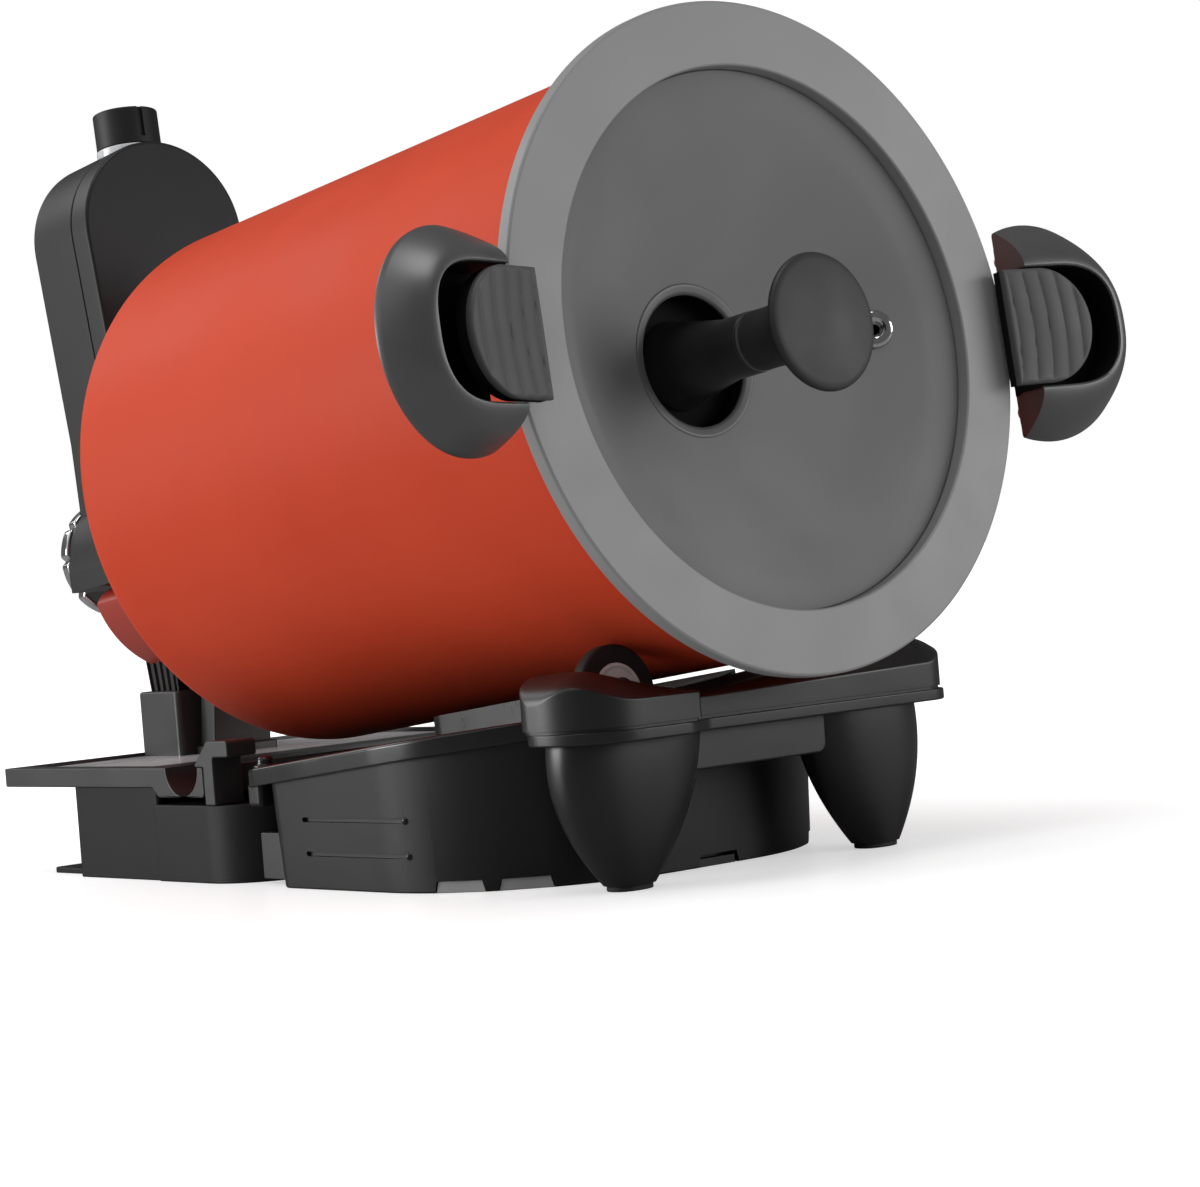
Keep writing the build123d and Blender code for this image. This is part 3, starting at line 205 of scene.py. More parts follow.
def plate(name, front, back, stuff, body, stands_for=(), sharp=SHARP_EDGE):
    """A front grid and a back grid of one size, joined round their four sides."""
    rows, cols = front.shape[:2]
    number = np.arange(rows * cols).reshape(rows, cols)
    edge = np.concatenate([number[0, :-1], number[:-1, -1], number[-1, :0:-1], number[:0:-1, 0]])
    after = np.roll(edge, -1)
    grid = quads(rows, cols)
    sides = np.column_stack([edge, after, after + rows * cols, edge + rows * cols])
    faces = np.concatenate([grid, grid[:, ::-1] + rows * cols, sides])
    return solid(name, np.stack([front, back]), faces, stuff, body, stands_for, sharp)


def carve(piece, *cutters):
    """Takes the cutters out of a piece and deletes them. The piece keeps its body and its material; the CAD parts it
    stands for stay hidden.
    """
    for cutter in cutters:
        cut = piece.modifiers.new("cut", "BOOLEAN")
        cut.operation = "DIFFERENCE"
        cut.solver = "MANIFOLD"
        cut.object = cutter
        cutter.hide_render = True
    piece.modifiers.remove(piece.modifiers["weighted_normals"])
    bpy.context.view_layer.update()
    cut_mesh = bpy.data.meshes.new_from_object(piece.evaluated_get(bpy.context.evaluated_depsgraph_get()))
    piece.modifiers.clear()
    piece.data = cut_mesh
    cut_mesh.shade_smooth()
    cut_mesh.set_sharp_from_angle(angle=math.radians(SHARP_EDGE))
    weigh_normals(piece)
    for cutter in cutters:
        bpy.data.objects.remove(cutter)
    return piece


def calm(piece, facing, share):
    """Shading normals of the faces towards one side, blended with that side's direction:
    normalised (1 - share) normal + share facing."""
    piece.modifiers.clear()
    normals = np.empty(len(piece.data.loops) * 3, np.float32)
    piece.data.corner_normals.foreach_get("vector", normals)
    normals = normals.reshape(-1, 3)
    towards = (normals @ facing > 0.5)[:, None]
    blended = np.where(towards, (1 - share) * normals + share * facing, normals)
    piece.data.normals_split_custom_set((blended / np.linalg.norm(blended, axis=1)[:, None]).tolist())


def box_outline(width, depth, radius, middle=(0.0, 0.0), steps=7):
    """Counter-clockwise rectangle with rounded corners, or one radius for each corner from the front left."""
    x, y = width / 2, depth / 2
    return rounded([(-x, -y), (x, -y), (x, y), (-x, y)], radius, steps) + np.array(middle)


def arc(centre, radius, start, end, count):
    """Points of an arc, angles in degrees."""
    a = np.radians(np.linspace(start, end, count))
    return np.column_stack([centre[0] + radius * np.cos(a), centre[1] + radius * np.sin(a)])


# Materials
def linear(colour):
    """sRGB hex to linear light, with alpha."""
    c = np.array([int(colour[i : i + 2], 16) for i in (1, 3, 5)]) / 255
    return (*np.where(c <= 0.04045, c / 12.92, ((c + 0.055) / 1.055) ** 2.4).tolist(), 1.0)


def node(tree, kind, sockets, **settings):
    """Adds a node: settings are its properties, sockets its input values or the outputs linked to them."""
    made = tree.nodes.new(kind)
    for key, value in settings.items():
        setattr(made, key, value)
    for key, value in sockets.items():
        if isinstance(value, bpy.types.NodeSocket):
            tree.links.new(value, made.inputs[key])
        else:
            made.inputs[key].default_value = value
    return made


def started(name):
    """A new material with its tree cleared, its shader and the piece's own coordinates."""
    stuff = bpy.data.materials.new(name)
    stuff.use_nodes = True
    tree = stuff.node_tree
    tree.nodes.clear()
    shader = node(tree, "ShaderNodeBsdfPrincipled", {})
    node(tree, "ShaderNodeOutputMaterial", {"Surface": shader.outputs[0]})
    where = node(tree, "ShaderNodeTexCoord", {}).outputs["Object"]
    return stuff, tree, shader, where


def per_mm(size):
    """Texture scale for a pattern of a real size in millimetres, on coordinates in metres."""
    return 1000.0 / size


def toned(tree, shader, pattern, colours, roughness):
    """Colour and roughness that go from the first value to the second as the pattern rises."""
    tone = node(tree, "ShaderNodeMix", {"Factor": pattern}, data_type="RGBA")
    for socket, colour in zip((6, 7), colours):
        tone.inputs[socket].default_value = linear(colour)
    tree.links.new(tone.outputs[2], shader.inputs["Base Color"])
    polish = node(tree, "ShaderNodeMapRange", {"Value": pattern, "From Min": 0.3, "From Max": 0.7,
                                               "To Min": roughness[0], "To Max": roughness[1]})
    tree.links.new(polish.outputs[0], shader.inputs["Roughness"])


def moulded(name, dark, light, roughness, grain, depth, patch=60.0, spread=0.06, shine=0.5):
    """Moulded or coated surface: the grain of the mould or the spray as bump, and a slow drift of tone and polish
    in patches where it has been handled. Patch, grain and depth are in millimetres. A real grain is under 0.1 mm:
    it is drawn coarser, at 0.4 to 1.2 mm, so that it shows."""
    stuff, tree, shader, where = started(name)
    drift = node(tree, "ShaderNodeTexNoise", {"Vector": where, "Scale": per_mm(patch), "Detail": 3.0})
    toned(tree, shader, drift.outputs["Fac"], (dark, light), (roughness - spread, roughness + spread))
    erosion = node(tree, "ShaderNodeTexNoise", {"Vector": where, "Scale": per_mm(grain), "Detail": 2.0})
    bump = node(tree, "ShaderNodeBump", {"Height": erosion.outputs["Fac"], "Strength": 0.5, "Distance": depth * MM})
    tree.links.new(bump.outputs[0], shader.inputs["Normal"])
    shader.inputs["Specular IOR Level"].default_value = shine
    return stuff


def metal(name, dark, light, roughness, grain, depth, stretch=(1.0, 1.0, 1.0)):
    """Bare metal: grain stretched along the way it was worked, in tone, roughness and bump."""
    stuff, tree, shader, where = started(name)
    along = node(tree, "ShaderNodeMapping", {"Vector": where, "Scale": stretch}).outputs[0]
    scratch = node(tree, "ShaderNodeTexNoise", {"Vector": along, "Scale": per_mm(grain), "Detail": 4.0})
    toned(tree, shader, scratch.outputs["Fac"], (dark, light), (roughness * 0.85, roughness * 1.15))
    bump = node(tree, "ShaderNodeBump", {"Height": scratch.outputs["Fac"], "Strength": 0.3, "Distance": depth * MM})
    tree.links.new(bump.outputs[0], shader.inputs["Normal"])
    shader.inputs["Metallic"].default_value = 1.0
    return stuff


# Heat-proof lacquer on the pressed drum: satin red, gently rippled by the spraying
red_lacquer = moulded("satin_red_lacquer", "#AE3820", "#B74026", 0.5, 0.7, 0.03, patch=45.0, spread=0.05,
                      shine=0.08)
# Powder coat on the rim casting: even grey with an orange-peel skin
grey_coat = moulded("grey_powder_coat", "#747474", "#7D7D7D", 0.5, 0.9, 0.04, patch=25.0)
# Anodised aluminium lid, spun: darker grey with a soft sheen
lid_metal = moulded("grey_anodised_lid", "#545454", "#5C5C5C", 0.45, 0.5, 0.015, patch=50.0, shine=0.3)
# Anodised trim on the knob's well and neck: the lid's grey, darker
trim_grey = moulded("grey_well_trim", "#454545", "#4D4D4D", 0.4, 0.5, 0.02, patch=20.0)
# Soft-touch moulding of the ear handles: charcoal, broad highlights
grip = moulded("charcoal_soft_touch", "#373738", "#404041", 0.38, 0.45, 0.03, patch=30.0, shine=0.9)
# The knob's neck: the same moulding, polished, so that it looks darker and sharper
neck_black = moulded("black_polished_neck", "#1E1E1F", "#262627", 0.34, 0.45, 0.02, patch=30.0, shine=0.7)
# Near-black painted shade for the knob's well, the finger pockets' wall and floor and the pads' sides and bosses: dull,
# nearly without reflection
painted_shade_black = moulded("painted_shade_lining", "#0A0A0A", "#0F0F0F", 0.8, 0.5, 0.04, patch=20.0, shine=0.12)
# Ribbed thumb pads: a lighter charcoal with a coarser mould grain
pad_stuff = moulded("charcoal_ribbed_pad", "#3A3A3B", "#424243", 0.6, 0.5, 0.05, patch=22.0)
# ABS of the base: near-black with a satin mould texture that mirrors the light softly
abs_black = moulded("black_satin_abs", "#0C0C0D", "#121213", 0.4, 0.5, 0.035, patch=55.0, shine=0.45)
# The same ABS, glossier, on the front beam and its feet
front_black = moulded("black_polished_abs", "#0D0D0E", "#131314", 0.36, 0.5, 0.03, patch=50.0, shine=0.58)
# The same ABS, duller, on the rear box
dull_abs = moulded("black_dull_abs", "#0E0E0F", "#141415", 0.5, 0.5, 0.04, patch=50.0, shine=0.25)
# Soft-touch moulding of the knob's head: even charcoal, hardly any highlight
knob_black = moulded("charcoal_knob", "#262627", "#2C2C2D", 0.5, 0.45, 0.03, patch=20.0, shine=0.35)
# Gloss black of the heater's cover: sharp reflections of what stands over it
gloss_black = moulded("black_gloss_abs", "#121214", "#18181A", 0.2, 0.8, 0.012, patch=40.0, spread=0.04)
# ABS of the rear tray and the post: satin charcoal
tray_grey = moulded("charcoal_tray_abs", "#222223", "#292A2A", 0.4, 0.5, 0.035, patch=45.0)
# ABS of the tower shells and the control: charcoal, duller
abs_grey = moulded("charcoal_tower_abs", "#18181A", "#1F1F20", 0.45, 0.5, 0.035, patch=70.0, shine=0.26)
# Dark red ABS of the lower tower cover: satin, deeper than the drum's red
abs_red = moulded("dark_red_abs", "#8E2A1C", "#9A3122", 0.45, 0.6, 0.03, patch=40.0)
# Pale gloss plastic of the deck's floor and the ring under the control: mirrors what stands on it
pale_gloss = moulded("pale_gloss_abs", "#B4B6B8", "#C4C5C7", 0.16, 0.8, 0.01, patch=35.0, spread=0.04)
# Tyre rubber: dull black, slightly dusty
rubber = moulded("black_rubber", "#161616", "#1F1F1F", 0.75, 0.6, 0.06, patch=12.0)
# Grey rubber blocks in the heater's notches: dull and pale
grey_rubber = moulded("grey_rubber", "#7E7E7E", "#8A8A8A", 0.7, 0.6, 0.05, patch=10.0)
# Zinc-plated roller discs: pale and satin
zinc = moulded("zinc_plate", "#C2C3C4", "#D2D3D4", 0.4, 0.4, 0.015, patch=8.0, shine=0.8)
# Circuit board lacquer: deep green, half gloss
board = moulded("green_board_lacquer", "#0B3A22", "#12492C", 0.35, 1.2, 0.02, patch=9.0)
# Turned steel: fine lines across a satin gleam
steel = metal("turned_steel", "#9A9A9B", "#BDBDBE", 0.32, 0.6, 0.01, stretch=(0.15, 1.0, 1.0))
# Polished chrome plate: nearly a mirror
chrome = metal("chrome_plate", "#C8C8CA", "#E0E0E2", 0.12, 4.0, 0.004)
# Enamelled casting of the heating plate: glossy black over a cast grain
enamel = moulded("black_enamelled_casting", "#141414", "#1C1C1C", 0.3, 1.0, 0.04, patch=15.0)
# Cast aluminium, slightly grainy
cast = metal("cast_aluminium", "#8A8A8B", "#A3A3A4", 0.48, 1.1, 0.04)

# CAD nodes that stay as they are
for name, stuff in {
    "base_plate": abs_black, "heating_plate": enamel, "heating_element": enamel, "thermostat": steel,
    "case_screws": steel, "roller_yokes": abs_black, "roller_axles": steel,
    "control_board": board, "power_inlet": abs_black, "tower_frame": abs_grey, "hub_bearings": steel,
    "timer_control": abs_black, "drive_shaft": steel, "drive_coupling": cast, "knob_spindle": steel,
    "stir_fins": steel, "drum_socket": cast, "handle_bracket_left": steel, "handle_bracket_right": steel,
    "handle_screws": steel, "lid_gasket": rubber,
}.items():
    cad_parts[name].data.materials.clear()
    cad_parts[name].data.materials.append(stuff)
    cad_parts[name].data.set_sharp_from_angle(angle=math.radians(30))

# Camera at the photograph's viewing angle
CAMERA_PLACE, LENS, SENSOR = (-0.7408, -0.87095, 0.1119), 89.55, 36.0
azimuth, elevation, roll = math.radians(-40.86), math.radians(0.48), math.radians(-4.64)
back = Vector((math.sin(azimuth) * math.cos(elevation), -math.cos(azimuth) * math.cos(elevation),
               math.sin(elevation)))
level = (-back).cross(Vector((0, 0, 1))).normalized()
upright = level.cross(-back)
right = math.cos(roll) * level + math.sin(roll) * upright
top = -math.sin(roll) * level + math.cos(roll) * upright
camera = bpy.data.objects.new("camera", bpy.data.cameras.new("camera"))
camera.matrix_world = Matrix.Translation(CAMERA_PLACE) @ Matrix((right, top, back)).transposed().to_4x4()
camera.data.sensor_width = SENSOR
camera.data.lens = LENS
bpy.context.scene.collection.objects.link(camera)
bpy.context.scene.camera = camera

# Floor and world: camera rays see white, more of it away from the object, so that its shadow stays. Glossy rays
# see a darker room, which keeps the black plastic as dark as it is.
FLOOR_HALF = 40.0
floor = bpy.data.objects.new("floor", bpy.data.meshes.new("floor"))
floor.data.from_pydata([(-FLOOR_HALF, -FLOOR_HALF, 0), (FLOOR_HALF, -FLOOR_HALF, 0), (FLOOR_HALF, FLOOR_HALF, 0),
                        (-FLOOR_HALF, FLOOR_HALF, 0)], [], [(0, 1, 2, 3)])
bpy.context.scene.collection.objects.link(floor)
floor_stuff, tree, shader, where = started("pale_studio_floor")
shader.inputs["Base Color"].default_value = linear("#DADADA")
shader.inputs["Roughness"].default_value = 0.28
ray = node(tree, "ShaderNodeLightPath", {})
away = node(tree, "ShaderNodeVectorMath", {0: where}, operation="LENGTH")
spread = node(tree, "ShaderNodeMapRange", {"Value": away.outputs["Value"], "From Min": 0.12, "From Max": 0.6,
                                           "To Min": 0.5, "To Max": 1.0}, interpolation_type="SMOOTHSTEP")
seen = node(tree, "ShaderNodeMath", {0: ray.outputs["Is Camera Ray"], 1: spread.outputs[0]}, operation="MULTIPLY")
white = node(tree, "ShaderNodeEmission", {"Strength": seen.outputs[0]})
dim = node(tree, "ShaderNodeMath", {0: ray.outputs["Is Glossy Ray"], 1: 0.65}, operation="MULTIPLY")
dark = node(tree, "ShaderNodeEmission", {"Strength": 0.0})
kept = node(tree, "ShaderNodeMixShader", {0: dim.outputs[0], 1: shader.outputs[0], 2: dark.outputs[0]})
blend = node(tree, "ShaderNodeAddShader", {0: kept.outputs[0], 1: white.outputs[0]})
tree.links.new(blend.outputs[0], tree.nodes["Material Output"].inputs["Surface"])
floor.data.materials.append(floor_stuff)

world = bpy.data.worlds.new("studio")
bpy.context.scene.world = world
world.use_nodes = True
tree = world.node_tree
tree.nodes.clear()
ray = node(tree, "ShaderNodeLightPath", {})
direct = node(tree, "ShaderNodeMath", {0: ray.outputs["Is Camera Ray"], 1: ray.outputs["Is Transmission Ray"]},
              operation="MAXIMUM")
around = node(tree, "ShaderNodeMapRange", {"Value": ray.outputs["Is Glossy Ray"], "To Min": 0.55, "To Max": 0.12})
strength = node(tree, "ShaderNodeMapRange", {"Value": direct.outputs[0], "To Min": around.outputs[0], "To Max": 1.0})
sky = node(tree, "ShaderNodeBackground", {"Strength": strength.outputs[0]})
sky.inputs["Color"].default_value = (1.0, 1.0, 1.0, 1.0)
node(tree, "ShaderNodeOutputWorld", {"Surface": sky.outputs[0]})


def softbox(name, place, target, size, power):
    """A rectangular area lamp aimed at a point, sizes in metres."""
    lamp = bpy.data.lights.new(name, "AREA")
    lamp.shape = "RECTANGLE"
    lamp.size, lamp.size_y = size
    lamp.energy = power
    held = bpy.data.objects.new(name, lamp)
    held.location = place
    held.rotation_mode = "QUATERNION"
    held.rotation_quaternion = (Vector(target) - Vector(place)).to_track_quat("-Z", "Y")
    bpy.context.scene.collection.objects.link(held)


# Soft studio lamps: place, aim and size in metres, power in watts
softbox("key_high_left", (-1.5, 0.3, 1.3), (0.0, 0.05, 0.18), (1.5, 1.5), 4.5)
softbox("left_low", (-1.55, 1.15, 0.38), (0.0, 0.05, 0.18), (1.0, 0.6), 20.5)
softbox("front_right", (0.85, -1.15, 0.42), (0.0, -0.05, 0.18), (1.3, 0.6), 9.2)
softbox("top", (-0.3, -0.2, 2.0), (0.0, 0.0, 0.1), (1.0, 1.0), 14.5)
softbox("rear_high", (-0.6, 1.7, 1.3), (0.0, 0.2, 0.2), (0.9, 0.9), 8.0)

bpy.context.scene.view_settings.view_transform = "Standard"

# Drum and rim
lathe("drum_shell", DRUM, rounded(
    [(0, -DRUM_LONG), (DRUM_ROUND, -DRUM_LONG), (DRUM_ROUND, LIP_BACK), (LIP_ROUND, LIP_BACK), (LIP_ROUND, LIP_FRONT),
     (DRUM_BORE, LIP_FRONT), (DRUM_BORE, DRUM_WALL - DRUM_LONG), (0, DRUM_WALL - DRUM_LONG)],
    [0, 6, 1.0, 0.8, 0.4, 0.4, 3, 0]), red_lacquer, "pot", ["drum"], turns=224)
lathe("rim_face", DRUM, rounded(
    [(SEAT_ROUND, SPIGOT_BACK), (SPIGOT_ROUND, SPIGOT_BACK), (SPIGOT_ROUND, LIP_FRONT), (RIM_ROUND, LIP_FRONT),
     (RIM_ROUND, 0), (MOUTH_ROUND, 0), (MOUTH_ROUND, SEAT_LEVEL), (SEAT_ROUND, SEAT_LEVEL)],
    [0.3, 0.6, 0.2, 0.8, 1.1, 1.0, 0.2, 0.3]), grey_coat, "pot", ["rim_ring"], turns=224, closed=True)

# Lid with its knob and vent
LID_ROUND, LID_LEVEL, LID_SHEET = 96.8, -4.8, 1.5
DISH_DEEP, DISH_HALF, DISH_END = 42.0, 90.0, 84.0
DISH = (DISH_HALF**2 + DISH_DEEP**2) / (2 * DISH_DEEP)
BRIM = LID_ROUND - DISH_END
HOLE_ROUND = 27.0


def dish(radius):
    """Level of the dished front: a sphere of radius DISH, deepest on the axis."""
    return DISH - np.sqrt(DISH**2 - np.square(radius)) + LID_LEVEL - DISH_DEEP


def flare(share):
    """Level between the end of the sphere and the lid's edge: cubic with the sphere's slope at its start and
    level at its end."""
    start, slope = float(dish(DISH_END)), DISH_END / math.sqrt(DISH**2 - DISH_END**2)
    return (start * (1 - 3 * share**2 + 2 * share**3) + LID_LEVEL * (3 * share**2 - 2 * share**3)
            + slope * BRIM * (share**3 - 2 * share**2 + share))


r = np.linspace(HOLE_ROUND, DISH_END, 36)
bowl = np.column_stack([r, dish(r)])
share = np.linspace(0, 1, 14)[1:]
brim = np.column_stack([DISH_END + BRIM * share, flare(share)])
hole = float(dish(HOLE_ROUND))
front = np.vstack([bowl, brim, [(LID_ROUND + 0.4, LID_LEVEL - 0.4)]])
behind = np.vstack([[(LID_ROUND + 0.4, LID_LEVEL - LID_SHEET)], (brim - (0, LID_SHEET))[::-1],
                    (bowl - (0, LID_SHEET))[::-1]])
lid_piece = lathe("lid_dish", DRUM, np.vstack([front, behind]), lid_metal, "lid", ["lid_disc"],
                  turns=192, closed=True)

TRIM_IN, TRIM_OUT = 24.5, 28.6
trim = np.linspace(TRIM_IN, TRIM_OUT, 9)
off_middle = (2 * trim - TRIM_IN - TRIM_OUT) / (TRIM_OUT - TRIM_IN)
lathe("well_trim", DRUM, np.vstack([
    [(TRIM_IN, hole - 1.4)], np.column_stack([trim, dish(trim) + 0.5 - 0.4 * np.abs(off_middle) ** 6]),
    [(TRIM_OUT + 0.1, float(dish(TRIM_OUT + 0.1)) - 0.4)]]), trim_grey, "lid", turns=128, closed=True)
WELL_ROUND, WELL_DEEP, CUP_ROUND, CUP_FLANGE = 24.4, 10.0, 26.8, 32.0
# The knob's well is coloured near-black: painted shade in the recess.
lathe("knob_well", DRUM, rounded(
    [(0, hole - 12), (CUP_ROUND, hole - 12), (CUP_ROUND, hole - 3.6), (CUP_FLANGE, hole - 3.6),
     (CUP_FLANGE, hole - 1.6), (WELL_ROUND, hole - 1.6), (WELL_ROUND, hole - WELL_DEEP), (0, hole - WELL_DEEP)],
    [0, 1, 0.2, 0.3, 0.3, 0.2, 1.5, 0], 4), painted_shade_black, "lid", ["knob_cup"], turns=128)
NECK_ROUND, NECK_END, CAP_START = 11.2, -10.5, -8.9
foot = hole - WELL_DEEP
lathe("knob_bell", DRUM, np.vstack([
    [(0, foot)],
    flowing([(16.6, foot), (16.9, foot + 0.8), (15.6, -48), (14.2, -41), (12.4, -32), (NECK_ROUND, -25)], 40),
    rounded([(NECK_ROUND, -22), (NECK_ROUND, NECK_END), (10.0, NECK_END), (10.0, CAP_START)], [0, 0.5, 0.2, 0], 4),
    [(0, CAP_START)]]), neck_black, "lid", ["knob_stem"], turns=128)
lathe("neck_ring", DRUM, rounded([(9.6, -10.2), (11.1, -10.2), (11.1, -9.2), (9.6, -9.2)], 0.25, 3), trim_grey,
      "lid", turns=128, closed=True)
crown = np.linspace(1, 0, 14)
lathe("knob_cap", DRUM, np.vstack([
    [(0, CAP_START)], rounded([(10.3, CAP_START), (10.9, -8.3), (10.9, -5)], [0, 0.3, 0], 4),
    flowing([(10.9, -4), (11.0, -0.5), (11.7, 6), (13.8, 11.8), (17.8, 16.6), (22.8, 19.6), (24.3, 21.0),
             (24.7, 22.2), (24.3, 23.4)], 60),
    np.column_stack([23.6 * crown, 24.0 + 2.2 * (1 - crown**2)])]),
    knob_black, "lid", ["knob_head"], turns=128)

VENT_X, VENT_V, VENT_BORE = 72.5, 6.0, 3.2
vent_out = math.hypot(VENT_X, VENT_V)
outward = (VENT_X * ACROSS + VENT_V * RISE) / vent_out
inwards = (math.sqrt(DISH**2 - vent_out**2) * AHEAD - vent_out * outward) / DISH
aside = np.cross(outward, AHEAD)
VENT = (put(DRUM, VENT_X, VENT_V, float(dish(vent_out))), aside, np.cross(inwards, aside), inwards)
CALM_SHARE = 0.95  # the lid's front is shaded nearly as one flat face
vent_hole = np.array([(0, 0), (VENT_BORE, 0), (VENT_BORE, 8), (0, 8)], float)
carve(lid_piece, lathe("vent_cut", moved(VENT, 0, 0, -4), vent_hole, steel, None, turns=40))
calm(lid_piece, AHEAD, CALM_SHARE)
lathe("vent_ring", VENT, np.vstack([
    [(2.0, -2.7), (3.1, -2.7), (3.1, 0.25)],
    flowing([(6.7, 0.25), (7.1, 0.7), (6.6, 1.5), (5.2, 1.9), (3.4, 1.5), (2.0, 0.3)], 24)]),
    chrome, "lid", ["vent_eyelet"], turns=64, closed=True)

# Ear handles: a wedge section between the D-shaped pocket and the round outside, a near-black sheet and floor in the
# pocket as painted shade, and a ribbed thumb pad in front. Places are from the middle of the pad's inner edge.
TIP = math.radians(13.0)
EAR_FOOT, EAR_AHEAD = 114.0, 9.3
EAR_MIDDLE, OPEN_ROUND, OPEN_HALF, CHORD = 25.0, 26.5, 23.0, 11.9
EAR_FRONT, EAR_BACK, EAR_FALL = -2.0, -20.0, 16.4
PAD_HALF, PAD_STRAIGHT, RIB_PITCH, RIB_BOW = 22.0, 16.0, 7.2, 2.2


def handle_axes(sign):
    """Axes of a handle's pad face: outward from the rim, up, to the front."""
    outward = sign * math.cos(TIP) * ACROSS + math.sin(TIP) * AHEAD
    facing = -sign * math.sin(TIP) * ACROSS + math.cos(TIP) * AHEAD
    return (put(DRUM, sign * EAR_FOOT, 0.0, EAR_AHEAD), outward, RISE, facing)


mirror = np.array([1.0, -1.0])
h = np.linspace(CHORD, EAR_MIDDLE, 14)[:-1]
a = np.radians(np.linspace(90, -90, 61))
turn = np.column_stack([np.cos(a), np.sin(a)])
arm = np.column_stack([h, np.full(h.size, OPEN_HALF)])
bend = np.sign(turn) * np.abs(turn) ** 0.72
pocket = np.vstack([arm, bend * (OPEN_ROUND, OPEN_HALF) + (EAR_MIDDLE, 0), (arm * mirror)[::-1]])


def ear_rings(axes, section, half):
    """A section across the ear's band, its first coordinate a share of the way from the pocket's edge to the
    outer ellipse of the given half axes."""
    arm = np.column_stack([h, half[1] * np.sqrt(1 - ((h - EAR_MIDDLE) / half[0]) ** 2)])
    outside = np.vstack([arm, turn * half + (EAR_MIDDLE, 0), (arm * mirror)[::-1]])
    points = pocket[:, None] + (outside - pocket)[:, None] * section[None, :, :1]
    return put(axes, points[..., 0], points[..., 1], section[None, :, 1] + 0 * points[..., 0])


crest = np.linspace(1, 0, 20)[:-1]
section = np.vstack([
    [(0, EAR_BACK + 0.6), (0.05, EAR_BACK), (0.93, EAR_BACK), (0.985, EAR_BACK + 0.4)],
    np.column_stack([crest, EAR_FRONT - EAR_FALL * crest**1.9]),
    [(0.03, -2.05), (0.0, -2.4)]])
shade_liner = np.array([(-0.02, -19.0), (0.04, -19.0), (0.04, -3.2), (-0.02, -3.2)])
for side, sign, half in (("left", -1, (37.6, 38.3)), ("right", 1, (39.2, 42.3))):
    axes = handle_axes(sign)
    skin(f"ear_handle_{side}", ear_rings(axes, section, half), grip, "pot", [f"handle_{side}"])
    # A thin near-black sheet over the pocket's inner wall and a near-black floor: painted shade in the pocket.
    skin(f"ear_shade_liner_{side}", ear_rings(axes, shade_liner, half), painted_shade_black, "pot")
    floor_plan = ((pocket - (EAR_MIDDLE, 0)) * 1.03 + (EAR_MIDDLE, 0))[::-1]
    slab(f"ear_floor_{side}", axes, floor_plan, -19.9, -17.5, (0.1, 0.1), painted_shade_black, "pot")

    v = np.sin(np.linspace(-1, 1, 65) * math.pi / 2) * PAD_HALF
    far = PAD_STRAIGHT + np.sqrt(np.maximum(PAD_HALF**2 - v**2, 0))
    share = np.linspace(0, 1, 97)[None, :]
    pad_h = share * far[:, None]
    pad_v = v[:, None] + 0 * share
    bowed = pad_h + RIB_BOW * (pad_v / PAD_HALF) ** 2
    edge = np.minimum(np.minimum(pad_h, far[:, None] - pad_h), PAD_HALF - np.abs(pad_v))
    fall = 1.4 * (1 - np.sqrt(1 - np.clip(1 - edge / 1.8, 0, 1) ** 2))
    rib = 0.55 * (1 - np.abs(np.sin(math.pi * (bowed - 3.4) / RIB_PITCH)) ** 0.5)
    near = np.clip(edge / 3.0, 0, 1)
    front = put(axes, pad_h, pad_v, -fall - 1.6 * rib * near)
    rear = put(axes, pad_h, pad_v, -2.6 + 0 * pad_h)
    plate(f"ribbed_pad_{side}", front, rear, pad_stuff, "pot", [f"thumb_pad_{side}"], sharp=60)
    a = np.linspace(-math.pi / 2, math.pi / 2, 49)
    reach = PAD_HALF - 0.2
    side_plan = np.vstack([[(0.2, reach), (0.2, -reach)],
                           np.column_stack([PAD_STRAIGHT + reach * np.cos(a), reach * np.sin(a)])])
    # The pad's side wall and the boss behind it are near-black: painted shade in the pocket.
    slab(f"pad_side_{side}", axes, side_plan, -7.0, -2.5, (0.4, 0.1), painted_shade_black, "pot")
    slab(f"pad_boss_{side}", moved(axes, 20, 0, 0), box_outline(16, 18, 2), -17.5, -6.9, (0.3, 0.3), painted_shade_black,
         "pot")

# Tower: shells, trim and drive. Levels are along the drum's axis.
TOWER_FRONT, SEAM_FRONT, SEAM_REAR, TOWER_REAR, RED_REAR = -372.0, -384.8, -385.4, -420.0, -403.0
RED_TOP, RED_TALL, RED_CORNER = -27.0, 41.0, 14.0
HUB_CUT, HUB_ROUND, MOTOR_DROP = 26.1, 26.0, 8.0
DROP, CASE, WAIST, WAIST_RISE, HEAD, HEAD_RISE, SHOULDER = 22.0, 46.0, 36.0, 40.0, 41.0, 128.6, 8.0
shoulder_up = math.sqrt((CASE + SHOULDER) ** 2 - (WAIST + SHOULDER) ** 2)
meet = math.degrees(math.atan2(shoulder_up, WAIST + SHOULDER))
low_turn = math.degrees(math.asin((DROP + RED_TOP + 0.1) / CASE))
half = np.vstack([
    arc((0, -DROP), CASE, low_turn, low_turn + 10, 2)[:-1], arc((0, -DROP), CASE, low_turn + 10, meet, 22),
    arc((WAIST + SHOULDER, shoulder_up - DROP), SHOULDER, 180 + meet, 180, 8)[1:],
    [(WAIST, WAIST_RISE)], arc((0, HEAD_RISE), HEAD, -2.8, 90, 32)[:-1]])
shell_outline = np.vstack([half, [(0, HEAD_RISE + HEAD)], (half * (-1, 1))[::-1]])
